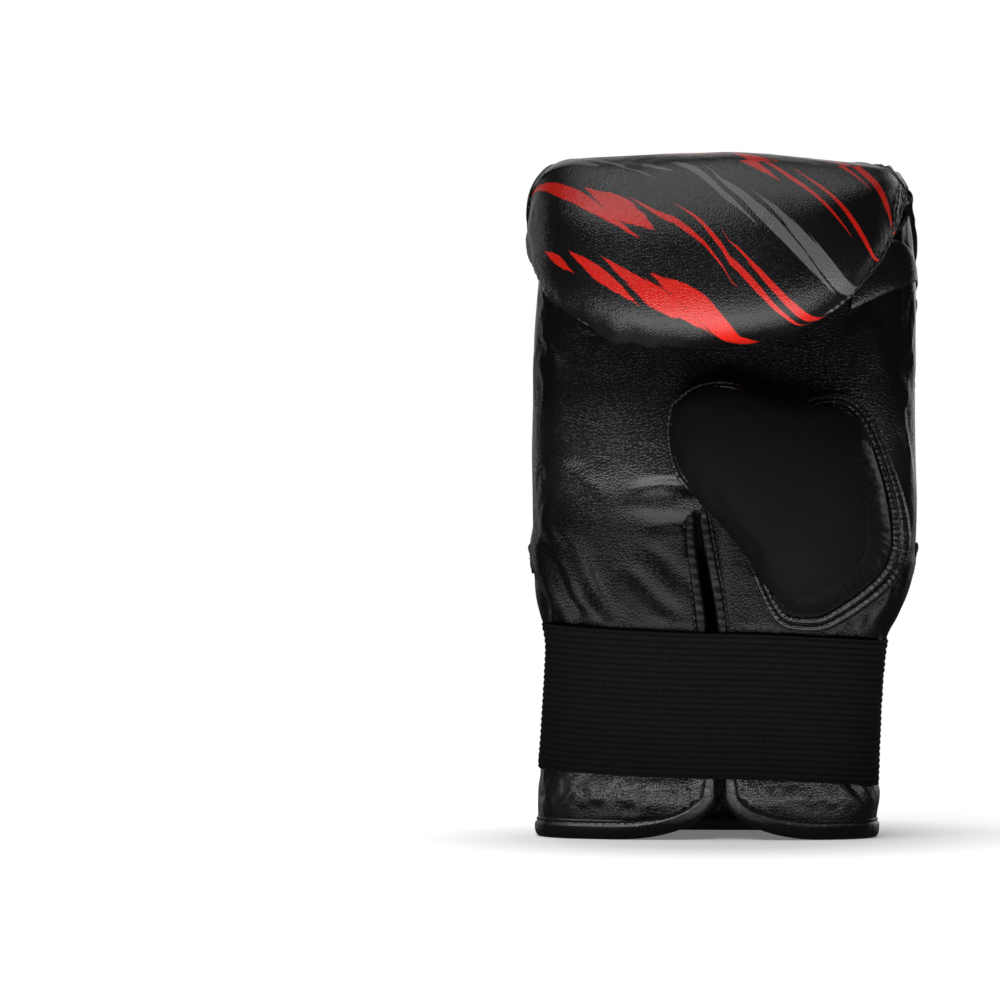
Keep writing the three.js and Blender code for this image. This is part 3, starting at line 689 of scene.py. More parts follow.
def closed_loft(name, rings, material, uvs=None):
    """A closed mesh through rings of points, with a fan over each end."""
    rings = np.asarray(rings)
    count, around = rings.shape[:2]
    points = np.concatenate([rings.reshape(-1, 3), rings[:1].mean(1), rings[-1:].mean(1)])
    index = np.arange(count * around).reshape(count, around)
    sides = grid_faces(np.concatenate([index, index[:, :1]], 1))
    faces = outward(points, sides)
    turned = faces[0] != sides[0].tolist()
    first, last = count * around, count * around + 1
    for j in range(around):
        k = (j + 1) % around
        a, b = int(index[0, j]), int(index[0, k])
        c, d = int(index[-1, j]), int(index[-1, k])
        faces.append([a, b, first] if turned else [b, a, first])
        faces.append([d, c, last] if turned else [c, d, last])
    if uvs is not None:
        uvs = np.concatenate([uvs.reshape(-1, 2), uvs[0, :1], uvs[-1, :1]])
    return new_object(name, points, faces, material, uvs)


def resampled(line, normals, step):
    """A polyline and its normals at even steps."""
    far = arc_lengths(line)
    at = np.linspace(0, far[-1], max(2, int(round(far[-1] / step)) + 1))
    return columns_at(at, far, line), unit(columns_at(at, far, normals)), at


def side_of(points, normals):
    """Unit directions to the side at each point of a line."""
    return unit(np.cross(unit(np.gradient(points, axis=0)), normals))


def around_line(points, side, up, across, high):
    """A ring of points at each point of a line, from offsets to its side and up."""
    return points[:, None] + side[:, None] * across[..., None] + up[:, None] * high[..., None]


def stitches(name, lines, material, pitch=STITCH_PITCH, length=STITCH_LENGTH, thickness=STITCH_THICKNESS):
    """Rows of separate stitches, each a short thread that dips into the leather at both ends."""
    sides = 6
    along = np.array([-0.5, -0.42, -0.2, 0.2, 0.42, 0.5]) * length
    radius = thickness / 2 * np.array([0.35, 0.8, 1, 1, 0.8, 0.35])[:, None]
    lift = thickness * np.array([-0.55, -0.1, 0.22, 0.22, -0.1, -0.55])[:, None]
    turn = np.linspace(0, TURN, sides, endpoint=False)
    points = []
    faces = []
    count = 0
    for line, normals in lines:
        centre, n, _ = resampled(line, normals, pitch)
        ahead = unit(np.gradient(centre, axis=0))
        for c, t, b, up in zip(centre, ahead, side_of(centre, n), n):
            rings = around_line(
                c + t * along[:, None],
                np.tile(b, (len(along), 1)),
                np.tile(up, (len(along), 1)),
                radius * np.cos(turn),
                lift + radius * np.sin(turn),
            )
            points.append(rings.reshape(-1, 3))
            index = count + np.arange(len(along) * sides).reshape(-1, sides)
            wrapped = np.concatenate([index, index[:, :1]], 1)
            faces.extend(grid_faces(wrapped)[:, [0, 3, 2, 1]].tolist())
            faces.append(index[0].tolist())
            faces.append(index[-1, ::-1].tolist())
            count += len(along) * sides
    made = new_object(name, np.concatenate(points), faces, material)
    return made

def node_tree(name):
    material = bpy.data.materials.new(name)
    material.use_nodes = True
    tree = material.node_tree
    return material, tree, tree.nodes["Principled BSDF"]


def set_inputs(tree, node, inputs):
    """Sets sockets of a node, by a link where the value is another node's output."""
    for key, value in inputs.items():
        socket = node.inputs[key]
        if isinstance(value, bpy.types.NodeSocket):
            tree.links.new(value, socket)
        else:
            socket.default_value = value


def add_node(tree, kind, inputs, **settings):
    node = tree.nodes.new(kind)
    for key, value in settings.items():
        setattr(node, key, value)
    set_inputs(tree, node, inputs)
    return node


def maths(tree, operation, a, b=0.0, c=0.0):
    return add_node(tree, "ShaderNodeMath", {0: a, 1: b, 2: c}, operation=operation).outputs[0]


def mixed(tree, factor, a, b):
    return add_node(tree, "ShaderNodeMix", {0: factor, 6: a, 7: b}, data_type="RGBA").outputs[2]


def ramp(tree, value, low, high, to_low=0.0, to_high=1.0):
    inputs = {"Value": value, "From Min": low, "From Max": high, "To Min": to_low, "To Max": to_high}
    return add_node(tree, "ShaderNodeMapRange", inputs).outputs["Result"]


def object_place(tree):
    return add_node(tree, "ShaderNodeTexCoord", {}).outputs["Object"]


def flat_place(tree):
    """The place on the flat panel, and its two parts."""
    flat = add_node(tree, "ShaderNodeUVMap", {}, uv_map="flat").outputs["UV"]
    parts = add_node(tree, "ShaderNodeSeparateXYZ", {0: flat}).outputs
    return flat, parts[0], parts[1]


def mottle(tree, place, scale, detail, roughness=0.5):
    """Noise between 0 and 1."""
    inputs = {"Vector": place, "Scale": scale, "Detail": detail, "Roughness": roughness}
    return add_node(tree, "ShaderNodeTexNoise", inputs).outputs["Fac"]


def relief(tree, height, strength, depth):
    """A normal with a height pressed into it. depth is in millimetres."""
    inputs = {"Height": height, "Strength": strength, "Distance": depth * MM}
    return add_node(tree, "ShaderNodeBump", inputs).outputs["Normal"]


def grey(value):
    return (value, value, value * 1.04, 1)


def leather(name, shade, roughness, grain=1.0, depth=0.14, bump=0.5, gloss=0.5):
    """Grained leather. grain is the size of a pebble and depth its height, in millimetres."""
    material, tree, shader = node_tree(name)
    place = object_place(tree)
    warp = add_node(tree, "ShaderNodeTexNoise", {"Vector": place, "Scale": 500, "Detail": 2})
    sway = {0: warp.outputs["Color"], 1: (0.0009, 0.0009, 0.0009), 2: place}
    bent = add_node(tree, "ShaderNodeVectorMath", sway, operation="MULTIPLY_ADD").outputs[0]
    cells = {"Vector": bent, "Scale": 1000 / grain}
    pebbles = add_node(tree, "ShaderNodeTexVoronoi", cells, feature="DISTANCE_TO_EDGE")
    pebbles = pebbles.outputs["Distance"]
    creases = mottle(tree, place, 170, 4, 0.6)
    height = maths(tree, "MULTIPLY_ADD", creases, 0.8, ramp(tree, pebbles, 0.0, 0.28))
    patches = mottle(tree, place, 45, 3)
    # The colour is darker in the grooves between the grain's pebbles and follows the relief: painted shade.
    painted_groove_shade = mixed(tree, ramp(tree, pebbles, 0.0, 0.2), grey(shade * 0.6), grey(shade))
    set_inputs(tree, shader, {
        "Normal": relief(tree, height, bump, depth),
        "Roughness": ramp(tree, patches, 0.3, 0.7, roughness - 0.05, roughness + 0.06),
        "Base Color": painted_groove_shade,
        "Specular IOR Level": gloss,
    })
    return material, tree, shader, painted_groove_shade


def leather_with_gloss_painted_by_height(name, shade, roughness, **kind):
    """Leather whose specular level is painted by height: glossiest on the cuff, duller at the wrist, with a
    painted sheen above it and painted shade under the roll.
    """
    material, tree, shader, _ = leather(name, shade, roughness, **kind)
    height = add_node(tree, "ShaderNodeSeparateXYZ", {0: object_place(tree)}).outputs[2]
    # By height alone: a sheen painted on the cuff and above the wrist, and shade painted under the roll by
    # dulling it.
    cuff = ramp(tree, height, 22 * MM, 60 * MM, 1.0, 0.22)
    above = ramp(tree, height, 122 * MM, 140 * MM, 0.22, 0.66)
    painted_shade_under_roll = ramp(tree, height, 156 * MM, 180 * MM, 1.0, 0.12)
    above = maths(tree, "MULTIPLY", above, painted_shade_under_roll)
    tree.links.new(maths(tree, "MAXIMUM", cuff, above), shader.inputs["Specular IOR Level"])
    return material


# The print: tapered dashes that all lean one way, staggered over the flat panel.
DASH_COUNT = 64
DASH_SLOPE = np.radians(-47)
DASH_SPREAD = 150
DASH_LOWEST = 4
DASH_HIGHEST = 316
DASH_GREY_EVERY = 3
RED = (0.46, 0.01, 0.005, 1)
CHARCOAL = (0.095, 0.095, 0.098, 1)


def dashes():
    """Each dash's middle across and up, its half length, its half width and whether it is grey."""
    made = []
    for i in range(DASH_COUNT):
        up = DASH_LOWEST + (DASH_HIGHEST - DASH_LOWEST) * (i + 0.5) / DASH_COUNT
        across = DASH_SPREAD * ((i * 0.618 + 0.2) % 1 - 0.5)
        reach = 12 + 30 * ((i * 0.414 + 0.1) % 1)
        width = 1.2 + 4.4 * ((i * 0.732 + 0.6) % 1) ** 2
        made.append((across, up, reach, width, i % DASH_GREY_EVERY == 1))
    return made


def printed_leather():
    """Black leather with a print of red and grey dashes that follows the flat panel."""
    material, tree, shader, painted_groove_shade = leather("printed_leather", 0.004, 0.31, grain=1.25, bump=0.6, gloss=0.42)
    _, across, up = flat_place(tree)
    across = maths(tree, "MULTIPLY", across, UV_MM)
    up = maths(tree, "MULTIPLY", up, UV_MM)
    turned = np.cos(DASH_SLOPE), np.sin(DASH_SLOPE)
    along = maths(tree, "MULTIPLY_ADD", across, turned[0], maths(tree, "MULTIPLY", up, turned[1]))
    over = maths(tree, "MULTIPLY_ADD", up, turned[0], maths(tree, "MULTIPLY", across, -turned[1]))
    streaks = {0: maths(tree, "MULTIPLY", along, 0.05), 1: maths(tree, "MULTIPLY", over, 1.5)}
    streaks = add_node(tree, "ShaderNodeCombineXYZ", streaks).outputs[0]
    fray = maths(tree, "MULTIPLY_ADD", mottle(tree, streaks, 1.0, 3, 0.65), 0.9, -0.45)
    nearest = {0: 9.0, 1: 9.0}
    for x, z, reach, width, is_grey in dashes():
        middle_along = x * turned[0] + z * turned[1]
        middle_over = z * turned[0] - x * turned[1]
        ahead = maths(tree, "MULTIPLY", maths(tree, "SUBTRACT", along, middle_along), 1 / reach)
        aside = maths(tree, "MULTIPLY", maths(tree, "SUBTRACT", over, middle_over), 1 / width)
        ahead = maths(tree, "POWER", maths(tree, "ABSOLUTE", ahead), 1.4)
        value = maths(tree, "ADD", ahead, maths(tree, "ABSOLUTE", aside))
        nearest[int(is_grey)] = maths(tree, "MINIMUM", nearest[int(is_grey)], value)
    # The print lies over the leather's colour, which carries painted shade in the grain's grooves.
    colour = painted_groove_shade
    for kind, paint in ((1, CHARCOAL), (0, RED)):
        inside = ramp(tree, maths(tree, "ADD", nearest[kind], fray), 1.0, 0.96)
        colour = mixed(tree, inside, colour, paint)
    tree.links.new(colour, shader.inputs["Base Color"])
    return material


def thumb_leather():
    """Leather that is matte over the thumb, with a slight sheen beside the seam at its root."""
    material, tree, shader, _ = leather("matte_leather", 0.003, 0.75, grain=0.7, depth=0.06)
    _, inward, _ = flat_place(tree)
    sheen = ramp(tree, inward, ROOT_REACH / UV_MM, ROOT_SHEEN / UV_MM)
    dull = shader.inputs["Roughness"].links[0].from_socket
    blend = add_node(tree, "ShaderNodeMix", {0: sheen, 2: dull, 3: 0.45}, data_type="FLOAT")
    specular = ramp(tree, sheen, 0, 1, 0.06, 0.15)
    set_inputs(tree, shader, {"Roughness": blend.outputs[0], "Specular IOR Level": specular})
    return material


def webbing():
    """Ribbed elastic: its ribs are modelled, its fine weave is a bump across them. Its colour is lighter on
    the ribs' crests and darker in their grooves, which is painted shade, and also follows the weave's
    height and flecks.
    """
    material, tree, shader = node_tree("elastic")
    flat, _, up = flat_place(tree)
    crossing = {"Vector": flat, "Scale": 52, "Distortion": 1.5, "Detail": 2, "Detail Scale": 3}
    weave = add_node(tree, "ShaderNodeTexWave", crossing, bands_direction="X").outputs["Fac"]
    height = maths(tree, "MULTIPLY_ADD", weave, 0.45, mottle(tree, flat, 160, 4, 0.7))
    # Painted shade: the colour is lighter on each rib's crest and darker in the groove between ribs.
    painted_rib_shade = maths(tree, "COSINE", maths(tree, "MULTIPLY", up, TURN * UV_MM / RIB_PITCH))
    flecks = mottle(tree, flat, 420, 2, 0.8)
    weight = maths(tree, "MULTIPLY_ADD", flecks, 0.7, maths(tree, "SUBTRACT", height, 0.35))
    weight = maths(tree, "MULTIPLY_ADD", painted_rib_shade, 0.06, weight)
    set_inputs(tree, shader, {
        "Normal": relief(tree, height, 0.8, 0.3),
        "Base Color": mixed(tree, ramp(tree, weight, 0.5, 1.0), grey(0.0002), grey(0.008)),
        "Roughness": 0.8,
        "Specular IOR Level": 0.05,
    })
    return material


def vinyl():
    """The bare label: white vinyl, faintly mottled."""
    material, tree, shader = node_tree("label")
    place = object_place(tree)
    patches = ramp(tree, mottle(tree, place, 60, 5, 0.6), 0.35, 0.65)
    set_inputs(tree, shader, {
        "Base Color": mixed(tree, patches, (0.76, 0.765, 0.775, 1), (0.82, 0.823, 0.828, 1)),
        "Normal": relief(tree, mottle(tree, place, 900, 3), 0.3, 0.1),
        "Roughness": 0.5,
    })
    return material


def thread(name, shade):
    material, tree, shader = node_tree(name)
    twist = mottle(tree, object_place(tree), 2500, 2)
    set_inputs(tree, shader, {
        "Base Color": mixed(tree, twist, grey(shade * 0.6), grey(shade)),
        "Normal": relief(tree, twist, 0.5, 0.1),
        "Roughness": 0.55,
    })
    return material


PRINTED = printed_leather()
BLACK = leather("black_leather", 0.003, 0.28, grain=1.25)[0]
SOFT = leather_with_gloss_painted_by_height("soft_leather", 0.0025, 0.29, grain=1.3, depth=0.17, bump=0.45)
BOUND = leather_with_gloss_painted_by_height("binding_leather", 0.003, 0.3, bump=0.4)
RIM = leather("rim_leather", 0.006, 0.33, gloss=1.0)[0]
MATTE = thumb_leather()
ELASTIC = webbing()
LABEL = vinyl()
THREAD = thread("black_thread", 0.012)
LABEL_THREAD = thread("grey_thread", 0.5)

# Stations where the panels of the back begin and end, and where their sides draw in to a pole
PAD_START = (CUFF_HEIGHT + GAP) / FOLD_HEIGHT
STRIP_END_TURN = 106
STRIP_END = 1 + STRIP_END_TURN / FOLD_SWEEP
SIDE_TRIM = 0.2
POLE_START = 0.85


def side_angle(v, square):
    share = np.clip((v - POLE_START) / (1 - POLE_START), 0, 1)
    return np.arcsin(POLE_CROWN ** (square / 2)) * share


def seam_angle(v, side):
    s = station(v)
    square = s[side + "_square"]
    return np.where(v > STRIP_END, side_angle(v, square), angle_at(s["seam_" + side], square))


def pad_inset(v, across):
    s = station(v)
    thin = np.minimum(SIDE_PAD, s["pad"])
    on_thumb = across < np.pi / 2
    seam = np.where(on_thumb, seam_angle(v, "thumb"), seam_angle(v, "outer"))
    angle = np.where(on_thumb, across, np.pi - across)
    return thin + (s["pad"] - thin) * smooth(angle, seam, np.pi / 2)


def strip_stations():
    """Stations from the cuff's top to where the side panels end over the fingertips."""
    return np.concatenate([crowded(PAD_START, 1, 78, 0.06)[:-1], np.linspace(1, STRIP_END, 44)])


def back_panel(v, across):
    """The panel of the back at a grid of stations and angles across."""
    thin = np.minimum(SIDE_PAD, station(v)["pad"])
    return Panel(back_point(v, across), back_point(v, across, pad_inset(v, across), thin))


# Creases of the leather in front view: from a place to a place, with a width and a depth.
# They are pressed into whatever panel they are given to.
BACK_CREASES = table(
    "x1 z1 x2 z2 width depth",
    (80, 212, 52, 217, 2.2, 1.7),
    (80, 206, 50, 208, 1.6, 1.0),
    (80, 201, 56, 207, 1.8, 1.5),
    (80, 195, 48, 190, 2.0, 1.1),
    (80, 184, 58, 172, 2.6, 1.0),
    (80, 170, 60, 158, 2.4, 0.8),
    (-80, 190, -62, 186, 2.0, 0.6),
    (-80, 160, -60, 168, 2.4, 0.6),
    (-80, 132, -58, 126, 2.0, 0.5),
)
PALM_CREASES = table(
    "x1 z1 x2 z2 width depth",
    (-6, 138.5, -34, 136, 2.6, 2.6),
    (-8, 135, -26, 140, 1.8, 1.2),
    (-8, 124, -30, 122, 2.4, 1.3),
    (-71, 120, -54, 84, 2.8, 2.0),
    (-62, 122, -42, 86, 3.2, 1.7),
    (-75, 106, -66, 84, 2.2, 1.5),
    (-53, 104, -42, 84, 2.6, 1.2),
    (-34, 104, -14, 84, 3.0, 1.6),
    (-26, 112, -10, 96, 2.6, 1.3),
    (-62, 146, -44, 132, 3.0, 0.8),
    (68, 108, 57, 85, 2.0, 1.6),
    (60, 94, 50, 83, 1.8, 1.2),
    (74, 112, 66, 94, 1.8, 1.3),
    (12, 100, 8, 84, 1.8, 0.9),
    (76, 176, 64, 196, 3.0, 0.7),
    (-72, 192, -56, 186, 3.4, 0.7),
    (-26, 25, -36, 10, 1.7, 1.5),
    (-38, 25, -48, 10, 1.9, 1.5),
    (-52, 24, -62, 12, 1.6, 0.8),
    (22, 24, 17, 13, 1.8, 0.7),
    (46, 25, 57, 12, 1.9, 1.0),
    (60, 24, 68, 12, 1.6, 0.9),
)
# Soft swells and dents of the palm: a place, how wide and high it spreads, and its height.
PALM_SWELLS = table(
    "x z wide high rise",
    (-40, 152, 24, 15, 1.9),
    (-18, 148, 12, 9, 1.0),
    (-24, 129.5, 12, 3.4, 1.2),
    (-58, 118, 14, 18, 1.2),
    (-30, 108, 14, 12, -0.9),
    (-62, 96, 7, 9, 0.8),
    (-50, 172, 18, 14, -0.7),
    (58, 190, 10, 22, 0.5),
    (-48, 15.5, 14, 6, 1.5),
    (-24, 15.5, 12, 6, 1.5),
    (16, 15.5, 11, 6, 1.5),
    (34, 15.5, 12, 6, 1.4),
    (56, 15.5, 12, 6, 1.3),
    (60, 96, 8, 8, 0.8),
)


def creased(points, creases):
    """The depth that a table of creases presses into points, with a soft ridge on either side."""
    total = np.zeros(points.shape[:-1])
    wander = 1.2 * noise(points, 14, 5)
    for x1, z1, x2, z2, width, depth in zip(*creases.values()):
        along = np.array([x2 - x1, z2 - z1])
        long = np.hypot(*along)
        along = along / long
        dx = points[..., 0] - x1
        dz = points[..., 2] - z1
        t = dx * along[0] + dz * along[1]
        side = dz * along[0] - dx * along[1] + wander
        fade = smooth(t, -long * 0.25, long * 0.2) * smooth(t, long * 1.15, long * 0.55)
        total += depth * fade * (0.55 * bell(side, 2.4 * width) - bell(side, width))
    return total


def back_pad():
    """The padded striking panel over the back, the fingertips and down to the roll's lip."""
    v = np.concatenate([strip_stations()[:-1], np.linspace(STRIP_END, 2, 76)])[:, None]
    t = crowded(0, 1, 170)[None, :]
    start = seam_angle(v, "thumb") + SEAM_GAP
    end = np.pi - seam_angle(v, "outer") - SEAM_GAP
    panel = back_panel(v, start + (end - start) * t)
    right = panel.from_right()
    amount = sewn_edge(panel.from_sides()) * smooth(v, STRIP_END + 0.03, STRIP_END - 0.04)
    amount += edge_roll(panel.v, 5.0) * 0.5
    amount += 0.2 * noise(panel.flat, 34, 1) + 0.08 * noise(panel.flat, 11, 2)
    amount += cloth_rise(panel.flat, panel.normal, growth=0.006, pressure=2, cap=1.3)
    amount -= 1.5 * smooth(v, 1.12, 1.3) * smooth(v, 1.62, 1.5)
    amount -= 1.0 * smooth(right, 16, 4) * smooth(v, 1.3, 1.5) * smooth(v, 1.95, 1.85)
    amount += creased(panel.flat, BACK_CREASES) * smooth(v, 1.12, 1.0)
    end_pleats = smooth(v, STRIP_END + 0.02, STRIP_END + 0.1) * smooth(panel.u, 13, 7)
    amount += 0.45 * wave(panel.u, 3.1, 0) * end_pleats * smooth(panel.u, 0, 1.5)
    lip = panel.from_top()
    outer_calm = smooth(right, 8, 24)
    thumb_end = smooth(panel.flat[..., 0], 20, 66)
    pucker = wave(panel.u, 4.4, 1.5 * noise(panel.flat, 9, 4)) * (0.35 + 0.65 * thumb_end)
    amount += 0.5 * pucker * outer_calm * bell(lip - 14, 10)
    crumple = noise(panel.flat * np.array([1.0, 0.5, 0.5]), 6.5, 6)
    outer_end = smooth(panel.flat[..., 0], 25, -15)
    reach = bell(lip - 19, 12) * smooth(v, 1.5, 1.7) * outer_calm
    amount += (0.6 + 1.0 * outer_end) * crumple * reach
    panel.push(amount)
    made = closed_wall("mitt_back_pad", panel, PRINTED)
    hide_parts("back_pad")
    return panel


def side_panel(side):
    """A side panel, from the side seam to the back pad's stitched seam."""
    v = strip_stations()[:, None]
    t = crowded(0, 1, 46)[None, :]
    start = side_angle(v, station(v)[side + "_square"])
    end = seam_angle(v, side) - SEAM_GAP
    angle = start + (end - start) * t
    panel = back_panel(v, angle if side == "thumb" else np.pi - angle)
    for grid in (panel.outside, panel.inside):
        grid[-1] += (grid[-2] - grid[-1]) * SIDE_TRIM
    seam = panel.from_right()
    amount = sewn_edge(seam)
    amount += edge_roll(panel.u, 2.4) * 0.8
    amount += edge_roll(panel.v, 5.0) * 0.5
    amount += 0.15 * noise(panel.flat, 26, 11) + 0.1 * noise(panel.flat, 9, 12)
    growth = 0.01 if side == "thumb" else 0.004
    amount += cloth_rise(panel.flat, panel.normal, growth, pressure=1, cap=1.3)
    amount += creased(panel.flat, BACK_CREASES)
    over = smooth(v, 0.93, 1.02) * smooth(v, 1.34, 1.16)
    pleats = wave(panel.u, 4.2, 1.2 * noise(panel.flat, 12, 13))
    deep = 0.8 if side == "thumb" else 0.15
    amount += deep * over * pleats * smooth(panel.u, 0, 4) * smooth(seam, 2, 6)
    if side == "thumb":
        amount += 2.2 * smooth(v, 0.88, 0.97) * smooth(v, 1.18, 1.06) * smooth(seam, 0, 9)
    panel.push(amount)
    made = closed_wall(f"mitt_side_panel_{side}", panel, BLACK)
    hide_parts(f"side_panel_{side}")
    return panel


def flap_edge(sign, reach, top=1.0):
    """One flap's edge in front view, from the slit's top to the level hem, moved by its reach."""
    rise = np.linspace(top, SLIT["rise"][0], 60)
    s = row_at(SLIT, "rise", rise)
    edge = np.stack([sign * s["open"] * SLIT_GAP - s["lean"] * SLIT_LEAN, rise * SLIT_HEIGHT], -1)
    foot_x = sign * SLIT["open"][0] * SLIT_GAP - SLIT["lean"][0] * SLIT_LEAN
    turn = np.linspace(0, np.pi / 2, 40)
    corner = np.stack([
        foot_x + sign * FLAP_CORNER_WIDTH * (1 - np.cos(turn)),
        FLAP_CORNER_HEIGHT * (1 - np.sin(turn)),
    ], -1)
    edge[-1, 1] = max(edge[-1, 1], FLAP_CORNER_HEIGHT + 0.5)
    edge = np.concatenate([edge, corner])
    shift = reach(edge[:, 1])
    moved = edge + sign * shift[:, None] * left_of(edge)
    moved[-1] = edge[-1] + [0, shift[-1]]
    return moved


# How far the slit's binding runs on above the slit, under the thumb
SLIT_BINDING_TOP = 1.04


def binding_width(z):
    share = smooth(z, FLAP_CORNER_HEIGHT / 2, FLAP_CORNER_HEIGHT * 1.6)
    return HEM_WIDTH + (SLIT_BINDING_WIDTH - HEM_WIDTH) * share


def hem_path():
    """The binding's path: points, level normals and widths."""
    v = HEM_WIDTH / 2 / FOLD_HEIGHT
    parts = []

    def half_width(z):
        return binding_width(z) / 2

    def add_flap(run):
        parts.append((palm_at(*run.T), palm_normal(*run.T), binding_width(run[:, 1])))

    def add_level(points, normals):
        parts.append((points, normals, np.full(len(points), float(HEM_WIDTH))))

    def add_corner(start, end):
        points = palm_point(v, np.linspace(start, end, 50)[1:-1])
        add_level(points, palm_normal(points[:, 0], points[:, 2]))

    left = flap_edge(-1, half_width, SLIT_BINDING_TOP)
    right = flap_edge(1, half_width, SLIT_BINDING_TOP)[::-1]
    add_flap(left)
    add_corner(palm_angle(left[-1, 0], HEM_WIDTH / 2), np.pi)
    angles = crowded(np.pi, 0, 160, 0.1)
    add_level(back_point(v, angles), back_normal(v, angles))
    add_corner(0, palm_angle(right[0, 0], HEM_WIDTH / 2))
    add_flap(right)
    return [np.concatenate(kind) for kind in zip(*parts)]


def rounded_strip(points, normals, widths, low, high, lumps, sides, sewn):
    """Rings of a strip whose back is flat and whose face is rounded, with a groove for stitches."""
    turn = np.linspace(0, np.pi, sides)
    across = -np.cos(turn)
    across = np.sign(across) * np.abs(across) ** 0.85
    up = np.sin(turn) ** 0.7
    face = low + (high - low) * (0.45 + 0.55 * up) + groove(across / 2 - sewn, 0.07, 0.9)
    profile_across = np.concatenate([across / 2, [0.5, -0.5]])
    profile_up = np.concatenate([face, [low, low]]) + lumps * np.concatenate([up, [0, 0]])
    side = side_of(points, normals)
    return around_line(points, side, normals, profile_across * widths[:, None], profile_up)


def hem_binding():
    """The bound edge, and the line that its stitches follow."""
    points, normals, widths = hem_path()
    far = arc_lengths(points)
    at = np.linspace(0, far[-1], 620)
    points = columns_at(at, far, points)
    normals = unit(columns_at(at, far, normals))
    widths = np.interp(at, far, widths)
    narrow = smooth(widths, HEM_WIDTH, SLIT_BINDING_WIDTH)[:, None]
    sides = 23
    upward = np.sign(side_of(points, normals)[len(points) // 2, 2])
    widths = widths * (0.2 + 0.8 * tapered(at, 9, 9))
    slant = np.concatenate([np.linspace(-1, 1, sides), [0, 0]])
    wander = at[:, None] + 0.8 * slant + 1.4 * noise(points, 7, 20)[:, None]
    lumps = 0.13 * wave(wander, 3.4, 0) * (0.3 + 0.7 * narrow)
    lumps = lumps + (0.22 * noise(points, 5, 21) - 0.3)[:, None]
    lumps = lumps - 2.4 * (1 - tapered(at, 3.5, 3.5))[:, None]
    seam = HEM_STITCHES * upward
    low = BINDING_PROUD - BINDING_THICKNESS
    rings = shifted(rounded_strip(points, normals, widths, low, BINDING_PROUD, lumps, sides, seam))
    rings[..., 2] = np.maximum(rings[..., 2], 0)
    made = closed_loft("mitt_hem_binding", rings, BOUND)
    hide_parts("hem_binding")
    place = np.argmin(np.abs(-np.cos(np.linspace(0, np.pi, sides)) - 2 * seam))
    return rings[:, place], normals, at


def prism(name, outline, y_from, y_to):
    """A scratch cutter along Y through a front view outline."""
    points = np.array([(x, y, z) for y in (y_from, y_to) for x, z in outline])
    n = len(outline)
    faces = outward(points, [[j, (j + 1) % n, n + (j + 1) % n, n + j] for j in range(n)])
    caps = [list(range(n)), list(range(n, 2 * n))]
    mesh = bpy.data.meshes.new(name)
    mesh.from_pydata((points * MM).tolist(), [], faces + caps)
    made = linked(name, mesh)
    bm = bmesh.new()
    bm.from_mesh(mesh)
    bmesh.ops.recalc_face_normals(bm, faces=bm.faces)
    bm.to_mesh(mesh)
    bm.free()
    return made


def cut_away(piece, cutters):
    """Cuts the cutters out of a piece and deletes them."""
    for cutter in cutters:
        change = piece.modifiers.new(cutter.name, "BOOLEAN")
        change.operation = "DIFFERENCE"
        change.solver = "EXACT"
        change.object = cutter
    done = piece.evaluated_get(bpy.context.evaluated_depsgraph_get())
    mesh = bpy.data.meshes.new_from_object(done)
    piece.modifiers.clear()
    old = piece.data
    piece.data = mesh
    mesh.name = old.name
    bpy.data.meshes.remove(old)
    mesh.polygons.foreach_set("use_smooth", np.ones(len(mesh.polygons), bool))
    for cutter in cutters:
        old = cutter.data
        bpy.data.objects.remove(cutter)
        bpy.data.meshes.remove(old)


def slit_outline():
    """The slit in the palm's leather, which its binding covers, pointed at its top."""
    def reach(z):
        return (binding_width(z) - EDGE_TUCK) * smooth(z, SLIT_HEIGHT + 1, SLIT_HEIGHT - 6)

    left = flap_edge(-1, reach)
    right = flap_edge(1, reach)
    below = -HEM_WIDTH
    return [*left, (left[-1, 0], below), (right[-1, 0], below), *right[::-1]]


def thumb_xz(along, over):
    back = along - THUMB_LENGTH
    x = -THUMB_TIP_X - back * np.cos(THUMB_TILT) + over * np.sin(THUMB_TILT)
    z = THUMB_TIP_Z + back * np.sin(THUMB_TILT) + over * np.cos(THUMB_TILT)
    return x, z


THUMB_FORWARD = 0.85


def thumb_place(along, over, height):
    """Points of the thumb: out from the palm, and mostly straight forward."""
    x, z = thumb_xz(along, over)
    foot = palm_at(x, z)
    way = (1 - THUMB_FORWARD) * palm_normal(x, z) + THUMB_FORWARD * np.array([0, -1, 0])
    way /= np.linalg.norm(way, axis=-1, keepdims=True)
    return foot + way * np.asarray(height)[..., None]


def thumb_hole_outline():
    angle = np.linspace(0, TURN, 49)[1:]
    along = THUMB_HOLE_ALONG * THUMB_LENGTH + THUMB_HOLE_LENGTH / 2 * np.cos(angle)
    over = THUMB_HOLE_OVER * THUMB_WIDTH + THUMB_HOLE_WIDTH / 2 * np.sin(angle)
    return list(zip(*thumb_xz(along, over)))


